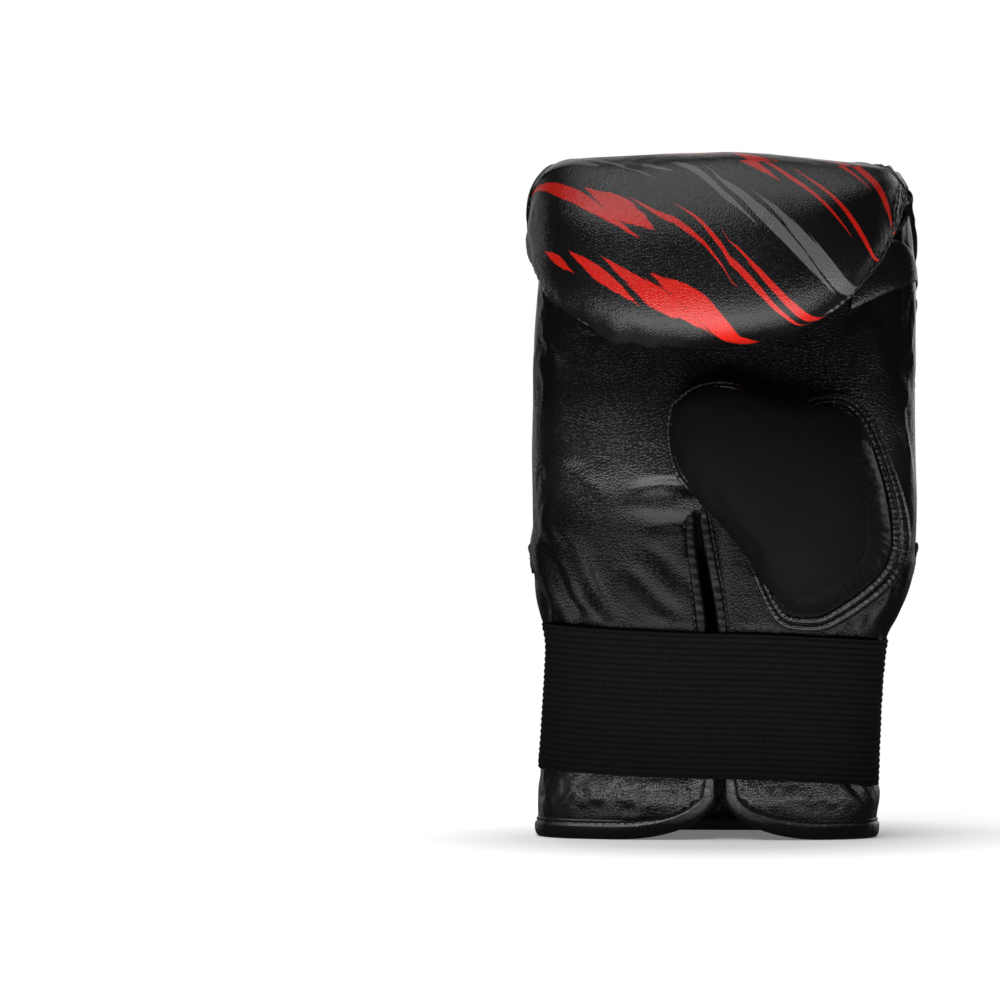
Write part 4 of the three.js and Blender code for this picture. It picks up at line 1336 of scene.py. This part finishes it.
def palm_panel():
    """The palm's leather, with the slit and the thumb's way in."""
    v = crowded((HEM_WIDTH - EDGE_TUCK) / FOLD_HEIGHT, 1 - PALM_TUCK / FOLD_HEIGHT, 190, 0.05)[:, None]
    across = crowded(0, np.pi, 170, 0.09)[None, :]
    outside = palm_point(v, across)
    inside = palm_point(v, across, LEATHER)
    at_side = smooth(np.abs(outside[..., 0]) / np.abs(outside[:, [0, -1], 0]).min(1)[:, None], 0.96, 1)
    s = station(v)
    parting = POLE_CROWN * (s["reach"] - s["palm"]) * np.clip((v - POLE_START) / (1 - POLE_START), 0, 1)
    for grid in (outside, inside):
        grid[..., 1] += at_side * (GAP + 0.05 + parting)
    panel = Panel(outside, inside)
    sides = panel.from_sides()
    at_x = panel.flat[..., 0]
    at_z = panel.flat[..., 2]
    amount = 0.2 * noise(panel.flat, 38, 31) + 0.12 * noise(panel.flat, 13, 32)
    cloth = cloth_rise(panel.flat, panel.normal, growth=0.003, pressure=0.3, cap=0.8)
    amount += cloth * smooth(sides, 2, 16)
    for x, z, wide, high, rise in zip(*PALM_SWELLS.values()):
        amount += rise * np.exp(-(((at_x - x) / wide) ** 2 + ((at_z - z) / high) ** 2))
    amount += edge_roll(sides, 2.2) * 0.7
    under_elastic = smooth(at_z, *UNDER_ELASTIC_HIGH[::-1]) * smooth(at_z, *UNDER_ELASTIC_LOW)
    amount += creased(panel.flat, PALM_CREASES) * (1 - under_elastic)
    gather = wave(at_x, 7.5, 2.5 * noise(panel.flat, 16, 33))
    beside_elastic = bell(at_z - 82, 7) + 0.8 * bell(at_z - 22, 5)
    amount += 0.35 * gather * beside_elastic * (1 - under_elastic)
    below_slit_top = smooth(at_z, SLIT_HEIGHT + 8, SLIT_HEIGHT - 4)
    amount *= 1 - 0.85 * below_slit_top * smooth(np.abs(at_x + 2), 10, 4)
    x, z = np.array(thumb_hole_outline()).mean(0)
    off_thumb = np.hypot(at_x - x, at_z - z)
    amount = np.where(off_thumb < 40, np.minimum(amount, 0.3 + 2 * smooth(off_thumb, 34, 40)), amount)
    amount = np.clip(amount, -2.4, 2.4)
    held = np.minimum(amount, 0.2 + 0.9 * (1 - under_elastic))
    amount = np.where(under_elastic > 0, held, amount)
    panel.push(amount)
    panel.inside = panel.inside + panel.normal * np.minimum(amount, 0.6)[..., None]
    made = closed_wall("mitt_palm", panel, SOFT)
    y_near = SIDE_Y - 2 * PALM_DEPTH
    cut_away(made, [
        prism("slit_cutter", slit_outline(), y_near, SIDE_Y - PALM_DEPTH / 2),
        prism("thumb_way_cutter", thumb_hole_outline(), y_near, SIDE_Y),
    ])
    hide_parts("palm_panel")


def cuff_panel():
    """The cuff's padded back."""
    v = crowded((HEM_WIDTH - EDGE_TUCK) / FOLD_HEIGHT, CUFF_HEIGHT / FOLD_HEIGHT, 100, 0.06)[:, None]
    across = crowded(0, np.pi, 170, 0.09)[None, :]
    panel = Panel(back_point(v, across), back_point(v, across, CUFF_WALL))
    amount = 0.15 * noise(panel.flat, 30, 41) + 0.1 * noise(panel.flat, 10, 42)
    amount += cloth_rise(panel.flat, panel.normal, growth=0.008, pressure=0.5, cap=0.7) - 0.3
    amount += edge_roll(panel.from_sides(), 2.2) * 0.7
    amount += groove(panel.v - CUFF_STITCHES, 1.0, 0.35)
    gather = wave(panel.flat[..., 0], 9, 2.2 * noise(panel.flat, 18, 43))
    amount += 0.22 * gather * bell(panel.flat[..., 2] - 98, 7)
    panel.push(np.minimum(amount, 0.35))
    made = closed_wall("mitt_cuff", panel, BLACK)
    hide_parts("cuff_panel")
    return panel


def cuff_band():
    """The turned band along the cuff's top: a rolled upper edge over a flat strip."""
    top = CUFF_HEIGHT + CUFF_BAND_LAP
    bottom = top - CUFF_BAND_HEIGHT
    v = np.linspace(bottom, top, 40)[:, None] / FOLD_HEIGHT
    across = crowded(0, np.pi, 220, 0.09)[None, :]
    full = CUFF_BAND_THICKNESS * (0.35 + 0.65 * np.sin(across))
    above = v * FOLD_HEIGHT - bottom
    up = above / CUFF_BAND_HEIGHT
    roll = np.sqrt(np.maximum(0, 1 - ((up - 0.83) / 0.17) ** 2)) * 1.05
    profile = np.maximum(np.maximum(0.42 * smooth(up, 0, 0.1), roll), 0.3)
    rows = sum(groove(above - row, 0.7, 0.25) for row in BAND_STITCHES)
    out = CLEARANCE + full * profile + rows
    inner = back_point(v, across, -CLEARANCE, -CLEARANCE)
    panel = Panel(back_point(v, across, -out, -out), inner)
    lumps = 0.22 * wave(panel.u, 3.0, 1.2 * noise(panel.flat, 7, 51))
    lumps += 0.18 * noise(panel.flat, 10, 52)
    panel.push(lumps * smooth(up, 0.05, 0.3) * smooth(up, 1.0, 0.9))
    made = closed_wall("mitt_cuff_band", panel, BLACK)
    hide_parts("cuff_band")
    return panel


def elastic_band():
    """The ribbed elastic across the wrist."""
    rows = RIBS * 8 + 1
    t = np.linspace(0, 1, rows)[:, None]
    across = crowded(0, np.pi, 120, 0.09)[None, :]
    lift = CLEARANCE + BINDING_PROUD * smooth(np.sin(across), 0.25, 0.95)
    tilt = ELASTIC_SLOPE / 2 * np.cos(across)
    v = (ELASTIC_HEIGHT - tilt + t * ELASTIC_WIDTH) / FOLD_HEIGHT
    thick = ELASTIC_THICKNESS * (0.5 + 0.5 * smooth(np.sin(across), 0.0, 0.5))
    lift = lift - 0.3 * smooth(np.sin(across), 0.5, 0.0)
    panel = Panel(palm_point(v, across, -lift - thick), palm_point(v, across, -lift))
    ribbing = np.abs(np.cos(np.pi * RIBS * t)) ** 0.7
    amount = -0.45 * (1 - ribbing) + 0.25 * noise(panel.flat, 22, 61)
    amount += 0.12 * noise(panel.flat * np.array([1, 1, 4]), 9, 62)
    amount += edge_roll(panel.from_ends(), 0.9) * 0.6
    amount += groove(panel.from_sides() - ELASTIC_STITCHES, 1.0, 0.5)
    panel.push(amount)
    made = closed_wall("mitt_elastic", panel, ELASTIC)
    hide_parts("elastic_band")
    return panel


def label_patch():
    """The sewn patch, left bare."""
    z = crowded(LABEL_ABOVE, LABEL_ABOVE + LABEL_HEIGHT, 90, 0.08)[:, None]
    s = station(z / FOLD_HEIGHT)
    start = angle_at((LABEL_WIDTH / 2 - LABEL_SHIFT) / s["thumb"], SQUARENESS)
    end = np.pi - angle_at((LABEL_WIDTH / 2 + LABEL_SHIFT) / s["outer"], SQUARENESS)
    t = crowded(0, 1, 120, 0.08)[None, :]
    across = start + (end - start) * t
    above_bottom = (z - LABEL_ABOVE) / LABEL_HEIGHT
    v = (z - LABEL_SAG * (1 - above_bottom) * (1 - (2 * t - 1) ** 2)) / FOLD_HEIGHT
    outer = back_point(v, across, -CLEARANCE - LABEL_THICKNESS)
    panel = Panel(outer, back_point(v, across, -CLEARANCE))
    edge = np.minimum(panel.from_sides(), panel.from_ends())
    amount = edge_roll(edge, 0.8) * 0.6 + groove(edge - LABEL_STITCHES, 0.8, 0.3)
    amount += 0.25 * noise(panel.flat, 24, 71) + 0.1 * noise(panel.flat, 9, 72)
    panel.push(amount)
    made = closed_wall("mitt_label", panel, LABEL)
    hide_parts("label_patch")
    return panel


def thumb_trim(share):
    """How much narrower the thumb is towards its tip, inside its piping."""
    return 3.0 * smooth(share, 0.35, 0.85)


def thumb_rings(wall=0.0, rows=130, around=140):
    """Rings of the thumb's outer form, or of its hollow where wall is its thickness."""
    roundness = 2.3
    root_cut = wall / THUMB_LENGTH
    share = crowded(root_cut, 1 - root_cut, rows, 0.13)[:, None]
    s = row_at(THUMB, "along", share)
    middle = (s["upper"] - s["lower"]) / 2 * THUMB_WIDTH
    half = np.maximum(1, (s["upper"] + s["lower"]) / 2 * THUMB_WIDTH - wall - thumb_trim(share))
    front = np.maximum(2, THUMB_HEIGHT * s["front"] - wall)
    back = np.minimum(THUMB_LIFT * s["rest"] + wall / 2, front - 1)
    widest = back + (front - back) * THUMB_WIDEST
    angle = np.linspace(0, TURN, around + 1)[1:][None, :]
    c, d = np.cos(angle), np.sin(angle)
    over = middle + half * np.sign(c) * np.abs(c) ** (2 / roundness)
    swell = np.sign(d) * np.abs(d) ** (2 / roundness)
    height = widest + swell * np.where(d > 0, front - widest, widest - back)
    along = share * THUMB_LENGTH - thumb_trim(share) * smooth(share, 0.7, 1)
    return thumb_place(along + 0 * over, over, height), share, angle


# The outer edge of the seam that joins the thumb to the palm, in front view, and the share of the
# full width that its two bands have there.
FLANGE_EDGE = table(
    "x z wide",
    (25.0, 163.0, 0.5),
    (30.1, 168.6, 0.55),
    (35.2, 172.1, 0.6),
    (45.0, 173.3, 0.62),
    (52.4, 170.2, 0.65),
    (58.7, 162.0, 0.68),
    (64.9, 146.7, 0.75),
    (70.0, 129.9, 0.9),
    (71.6, 116.6, 1.0),
    (70.0, 107.6, 1.0),
    (65.7, 99.4, 1.0),
    (55.9, 90.4, 0.95),
    (42.2, 81.8, 0.9),
    (35.2, 80.2, 0.9),
    (26.6, 81.0, 0.85),
    (21.1, 83.7, 0.8),
    (16.8, 90.4, 0.7),
    (12.9, 99.4, 0.65),
    (8.6, 110.3, 0.6),
)


def flange_run(inward=0.0, count=360):
    """Front view places along the flange, at a share of its width inward from its outer edge."""
    knots = np.stack(list(FLANGE_EDGE.values()), -1)
    far = arc_lengths(knots[:, :2])
    run = through(far, knots, np.linspace(0, far[-1], count))
    places = run[:, :2]
    return places - left_of(places) * (inward * FLANGE_WIDTH * run[:, 2])[:, None]


def thumb():
    """The thumb's pod: matte, gathered at its root, hollow and open towards the palm."""
    rings, share, angle = thumb_rings()
    down, side = np.gradient(rings, axis=(0, 1))
    side[:, 0] = (rings[:, 1] - rings[:, -1]) / 2
    side[:, -1] = (rings[:, 0] - rings[:, -2]) / 2
    n = unit(np.cross(down, side))
    n *= np.sign(np.median(np.sum(n * (rings - rings.mean(1, keepdims=True)), -1)))
    front_side = smooth(np.sin(angle), -0.1, 0.4)
    seam = flange_run(1.0)
    places = rings[..., [0, 2]].reshape(-1, 2)
    apart = np.linalg.norm(places[:, None] - seam[None], axis=-1)
    nearest = apart.argmin(1).reshape(rings.shape[:2]) / len(seam)
    inward = apart.min(1).reshape(rings.shape[:2])
    puckers = wave(nearest * arc_lengths(seam)[-1], 3.4, 2.2 * noise(rings, 6, 81))
    wrinkles = rough_noise(rings * np.array([1.0, 0.5, 1.0]), 5, 84)
    amount = 0.34 * puckers * np.exp(-inward / 3.5) + 0.3 * wrinkles * bell(inward, 6.5)
    amount += 0.3 * noise(rings, 26, 82) + 0.08 * noise(rings, 9, 83)
    amount *= front_side
    half = rings.shape[1] // 2
    amount[:, :half] += cloth_rise(rings[:, :half], n[:, :half], growth=0.01, pressure=2, cap=1.2)
    amount *= smooth(share, 0, 0.02) * smooth(share, 1, 0.97)
    skin = rings + n * amount[..., None]
    behind_root = smooth(nearest, 0.24, 0.3) * smooth(nearest, 0.82, 0.76)
    rings = skin - n * (1.8 * behind_root * smooth(inward, 8.5, 5.5))[..., None]
    flat = np.stack([ROOT_REACH + inward, np.broadcast_to(share * THUMB_LENGTH, inward.shape)], -1)
    made = closed_loft("mitt_thumb", rings, MATTE, flat)
    hollow = closed_loft("thumb_hollow", thumb_rings(THUMB_WALL, 30, 40)[0], MATTE)
    way = prism("thumb_way", thumb_hole_outline(), SIDE_Y - PALM_DEPTH - THUMB_HEIGHT / 3, SIDE_Y)
    cut_away(made, [hollow, way])
    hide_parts("thumb")
    return skin[:, :half], n[:, :half]


def thumb_edge(share, sign):
    s = row_at(THUMB, "along", share)
    over = (s["upper"] if sign > 0 else s["lower"]) * THUMB_WIDTH - thumb_trim(share)
    along = share * THUMB_LENGTH - thumb_trim(share) * smooth(share, 0.7, 1)
    return np.stack([along, sign * over], -1)


def tube(name, points, normals, sizes, material):
    """A closed tube along a line, with its size at each point."""
    turn = np.linspace(0, TURN, 15)[1:]
    across, high = sizes[:, None] * np.cos(turn), sizes[:, None] * np.sin(turn)
    return closed_loft(name, around_line(points, side_of(points, normals), normals, across, high), material)


def thumb_welt():
    """The piping round the thumb's tip: an edge and a thinner seam in front of it."""
    share = np.linspace(THUMB_WELT_START, 1, 90)
    run = np.concatenate([thumb_edge(share, 1), thumb_edge(share[::-1], -1)[1:]])
    shares = np.concatenate([share, share[::-1][1:]])
    s = row_at(THUMB, "along", shares)
    back = THUMB_LIFT * s["rest"]
    front = THUMB_HEIGHT * s["front"]
    shown = smooth(shares, 0.66, 0.84)
    widest = THUMB_WIDEST * (0.35 + 0.65 * shown)
    for name, out, rise, radius in (
        ("mitt_thumb_welt", 0.35, 0.0, 1.25),
        ("mitt_thumb_seam", -1.3, 0.46, 0.75),
    ):
        height = back + (front - back) * (widest + (1 - widest) * rise)
        moved = run + left_of(run) * (out - 3.2 * (1 - shown))[:, None]
        points = thumb_place(*moved.T, height)
        normals = palm_normal(points[:, 0], points[:, 2])
        points, normals, at = resampled(points, normals, 0.6)
        puckers = wave(at, 2.6, noise(points, 5, 86))
        sizes = radius * (0.4 + 0.6 * tapered(at, 8, 8)) * (1 + 0.14 * puckers)
        made = tube(name, points, normals, sizes, BLACK)
        if name == "mitt_thumb_welt":
            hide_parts("thumb_welt")


def thumb_flange():
    """The edge that joins the thumb's root to the palm: a bright lip and two puffed bands."""
    across = np.linspace(0, 1, 37)
    grid = np.stack([flange_run(share) for share in across], 1)
    foot = palm_at(grid[..., 0], grid[..., 1])
    normals = palm_normal(grid[..., 0], grid[..., 1])
    at = arc_lengths(foot[:, len(across) // 2])
    run = at[:, None]
    lip = 0.9 * bell(across - 0.07, 0.06)
    bands = lip + 0.85 * bell(across - 0.34, 0.19, 6) + 1.0 * bell(across - 0.78, 0.2, 6)
    laid = np.stack([run + 1.5 * across, 2 * across + 0 * run, 0 * run * across], -1)
    puffs = 0.16 * noise(laid, 1.5, 91) + 0.06 * wave(run, 2.2, 3 * across)
    height = FLANGE_THICKNESS * (0.45 + 0.45 * bands) + puffs * bands
    height = 0.2 + height * (0.1 + 0.9 * tapered(at, 9, 9)[:, None])
    face = foot + normals * (CLEARANCE + height)[..., None]
    under = (foot + normals * CLEARANCE)[:, [-1, 0]]
    made = closed_loft("mitt_thumb_flange", np.concatenate([face, under], 1), BLACK)
    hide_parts("thumb_flange")
    rows = []
    for share in FLANGE_STITCHES:
        place = flange_run(share).T
        row = palm_at(*place, CLEARANCE + FLANGE_STITCH_HEIGHT), palm_normal(*place)
        rows.append(away_from_ends(row, 12, at))
    return rows


def thumb_root(tube_points, tube_normals):
    """The gathers between the thumb and the seam at its root."""
    count = 420
    inner = flange_run(1.0, count)
    inward = unit(flange_run(2.0, count) - inner)
    far = arc_lengths(inner)
    kept = (far > ROOT_FROM * far[-1]) & (far < ROOT_TO * far[-1])
    inner, inward, far = inner[kept], inward[kept], far[kept]
    ends = tapered(far, 14, 17)
    run = far[:, None]
    t = np.linspace(0, 1, 30)
    inset = t * (ROOT_REACH * (0.25 + 0.75 * ends))[:, None]
    place = inner[:, None] + inward[:, None] * (inset - 0.8)[..., None]
    x, z = place[..., 0], place[..., 1]
    foot = palm_at(x, z, ROOT_FOOT + 0 * x)[..., 1]
    top, _, apart = on_surface(tube_points, tube_normals, x, z)
    top = top[..., 1]
    y = foot + (top[:, -1:] + 0.25 - foot) * np.sin(t * np.pi / 2) ** 1.1
    hugging = top - 0.45 * smooth(t, 1.0, 0.6) + 0.2
    y = np.where(apart < 1.2, np.minimum(y, hugging), y)
    for _ in range(10):
        y[1:-1] = (y[:-2] + 2 * y[1:-1] + y[2:]) / 4
        y[:, 1:-1] = (y[:, :-2] + 2 * y[:, 1:-1] + y[:, 2:]) / 4
    outside = np.stack([x, y, z], -1)
    panel = Panel(outside, outside + np.array([0, 1.4, 0]))
    laid = np.stack([run + 0.5 * inset, 0.3 * inset, 0 * inset], -1)
    puckers = wave(run, 3.3, 1.6 * noise(panel.flat, 9, 101))
    gathers = noise(laid, 1.8, 102) + 0.5 * noise(laid, 1.0, 103)
    amount = (0.1 * puckers + 0.34 * gathers) * (1 - t) ** 0.6
    amount += 0.16 * rough_noise(panel.flat, 4, 104) * smooth(t, 1.0, 0.6)
    amount += edge_roll(inset, 1.4) * 0.6
    panel.push(amount * (0.3 + 0.7 * ends[:, None]))
    flat = np.stack([inset, run + 0 * inset], -1)
    made = closed_wall("mitt_thumb_root", panel, MATTE, flat)


# The flap behind the lip's end, in front view: its rounded right edge from the bottom to the top.
GUSSET_EDGE = table(
    "x z",
    (75.6, 217.6),
    (75.3, 222.0),
    (74.2, 226.5),
    (72.3, 230.0),
    (70.0, 232.2),
    (67.0, 233.6),
)
GUSSET_THICKNESS = 2.4
GUSSET_INNER_X = 50
GUSSET_FOOT_Z = 205.5
GUSSET_TOP_Z = 230


def finger_gusset():
    """The rounded flap that closes the roll's end on the thumb's side."""
    t = crowded(0, 1, 46, 0.08)[:, None]
    w = crowded(0, 1, 46, 0.1)[None, :]
    edge_x, edge_z = evenly_through(GUSSET_EDGE, t)
    x = GUSSET_INNER_X + (edge_x - GUSSET_INNER_X) * w
    inner_z = GUSSET_FOOT_Z + (GUSSET_TOP_Z - GUSSET_FOOT_Z) * t
    z = inner_z + (edge_z - inner_z) * w
    crown = np.sqrt(np.clip(1 - (2 * t - 1) ** 6, 0, 1)) * np.sqrt(np.clip(1 - w**8, 0, 1))
    out = CLEARANCE + GUSSET_THICKNESS * (0.25 + 0.85 * crown)
    panel = Panel(palm_at(x, z, out), palm_at(x, z, CLEARANCE + 0 * x))
    panel.push(0.25 * noise(panel.flat, 7, 95) * crown)
    made = closed_wall("mitt_finger_gusset", panel, BLACK)
    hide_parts("finger_gusset")


# The seam round the roll's end on the thumb's side, in front view.
ROLL_RIM = table(
    "x z",
    (69.5, 256.5),
    (68.4, 250.5),
    (67.3, 243.7),
    (65.4, 234.5),
    (62.2, 225.3),
    (58.6, 219.6),
    (54.4, 214.4),
    (47.7, 207.2),
    (40.0, 202.0),
    (31.0, 198.4),
)


def roll_rim(panel):
    """The puckered rim along the roll's end, laid on the pad where the front view shows it."""
    x, z = evenly_through(ROLL_RIM, np.linspace(0, 1, 150))
    points, n, _ = on_surface(panel.outside, panel.normal, x, z)
    for _ in range(6):
        for row in (points, n):
            row[1:-1] = (row[:-2] + 2 * row[1:-1] + row[2:]) / 4
    points, n, far = resampled(points, unit(n), 0.6)
    ends = tapered(far, 10, 16)
    puckers = wave(far, 3.1, 1.5 * noise(points, 7, 96))
    sizes = 1.6 * (0.3 + 0.7 * ends) * (1 + 0.08 * puckers + 0.14 * noise(points, 4, 97))
    points = points - n * (0.75 + 1.2 * (1 - ends))[:, None]
    made = tube("mitt_roll_rim", points, n, sizes, RIM)


def away_from_ends(row, gap, far=None):
    """A row of stitches without a length at its start and at its end."""
    points, normals = row
    far = arc_lengths(points) if far is None else far
    kept = (far > gap) & (far < far[-1] - gap)
    return points[kept], normals[kept]


def behind_side(row):
    """The part of a row of stitches that is behind the mitt's sides, or just past them."""
    points, normals = row
    kept = points[:, 1] > SIDE_Y - 8
    return points[kept], normals[kept]


pad = back_pad()
thumb_side = side_panel("thumb")
outer_side = side_panel("outer")
palm_panel()
cuff = cuff_panel()
band = cuff_band()
hem_line, hem_normals, hem_at = hem_binding()
elastic = elastic_band()
label = label_patch()
tube_points, tube_normals = thumb()
thumb_welt()
flange_rows = thumb_flange()
thumb_root(tube_points, tube_normals)
finger_gusset()
roll_rim(pad)

sewn = ((pad, "left"), (pad, "right"), (thumb_side, "right"), (outer_side, "right"))
rows = [behind_side(panel.line_at(SEAM_STITCHES, edge)) for panel, edge in sewn]
stitches("stitches_pad", rows, THREAD)
stitches("stitches_cuff_band", [band.line_at(row, "bottom") for row in BAND_STITCHES], THREAD)
rows = [label.line_at(LABEL_STITCHES, edge) for edge in ("left", "right", "bottom", "top")]
rows = [away_from_ends(row, 2.0) for row in rows]
stitches("stitches_label", rows, LABEL_THREAD, pitch=3.4, length=2.2, thickness=0.55)
rows = [elastic.line_at(ELASTIC_STITCHES, edge) for edge in ("left", "right")]
stitches("stitches_elastic", rows, THREAD)
stitches("stitches_cuff", [cuff.line_at(CUFF_STITCHES, "bottom")], THREAD)
stitches("stitches_flange", flange_rows, THREAD, length=1.9, thickness=0.5)
stitches("stitches_hem", [away_from_ends((hem_line, hem_normals), 8, hem_at)], THREAD)


def floor():
    """A white floor that fades out round the mitt, and glows less near it: a painted shadow round its base.
    """
    radius = 0.9
    turn = np.linspace(0, TURN, 97)[:-1]
    points = [(radius * np.cos(a), radius * np.sin(a), 0) for a in turn]
    mesh = bpy.data.meshes.new("floor")
    mesh.from_pydata(points, [], [list(range(len(points)))])
    material, tree, shader = node_tree("floor")
    place = object_place(tree)
    far = add_node(tree, "ShaderNodeVectorMath", {0: place}, operation="LENGTH").outputs["Value"]
    set_inputs(tree, shader, {
        "Base Color": mixed(tree, mottle(tree, place, 40, 2), (0.9, 0.9, 0.9, 1), (0.92, 0.92, 0.92, 1)),
        "Roughness": 0.9,
        "Specular IOR Level": 0.1,
        "Emission Color": (1, 1, 1, 1),
        # The glow is weaker near the middle and brighter further out: a painted shadow round the mitt's
        # base.
        "Emission Strength": ramp(tree, far, 0.06, 0.14, 0.16, 0.5),
        "Alpha": ramp(tree, far, radius * 0.3, radius * 0.75, 1, 0),
    })
    mesh.materials.append(material)
    made = linked("floor", mesh)
    made.visible_glossy = False


def aimed(made, place, target):
    """Puts a light or a camera at a place and turns it towards a target."""
    made.location = place
    made.rotation_euler = (Vector(target) - Vector(place)).to_track_quat("-Z", "Y").to_euler()


def softbox(name, place, size, power, target=(0, 0, 0.13)):
    light = bpy.data.lights.new(name, "AREA")
    light.shape = "RECTANGLE"
    light.size, light.size_y = size
    light.energy = power
    made = linked(name, light)
    aimed(made, place, target)
    made.visible_camera = False


def studio():
    """White surroundings that light the mitt less than they show."""
    world = bpy.data.worlds.new("studio")
    world.use_nodes = True
    bpy.context.scene.world = world
    tree = world.node_tree
    shown = tree.nodes["Background"]
    set_inputs(tree, shown, {"Color": (1, 1, 1, 1), "Strength": 1.0})
    lit = add_node(tree, "ShaderNodeBackground", {"Color": (1, 1, 1, 1), "Strength": 0.03})
    eye = add_node(tree, "ShaderNodeLightPath", {}).outputs["Is Camera Ray"]
    both = add_node(tree, "ShaderNodeMixShader", {0: eye, 1: lit.outputs[0], 2: shown.outputs[0]})
    tree.links.new(both.outputs[0], tree.nodes["World Output"].inputs["Surface"])
    softbox("key", (-0.9, -1.2, 1.9), (2.4, 1.8), 34)
    softbox("above", (0.1, 0.2, 2.0), (2.0, 1.6), 14)
    softbox("table", (0.03, -0.26, 0.006), (0.7, 0.4), 3.0, (0.03, -0.26, 1.0))
    softbox("left", (-1.0, 1.3, 0.3), (0.3, 0.8), 0.8)
    softbox("right", (1.0, 1.3, 0.3), (0.3, 0.8), 0.8)
    softbox("behind", (0.2, 1.6, 0.5), (1.6, 0.7), 4)
    bpy.context.scene.view_settings.view_transform = "Standard"


def camera():
    """Level with the middle of the mitt, which stands right of the frame's middle."""
    distance = 2.0
    frame_width = 0.3912
    lens = bpy.data.cameras.new("camera")
    lens.sensor_width = 36
    lens.lens = lens.sensor_width * distance / frame_width
    made = linked("camera", lens)
    aimed(made, (0.002, -distance, 0.132), (-0.0865, 0, 0.132))
    bpy.context.scene.camera = made


floor()
studio()
camera()
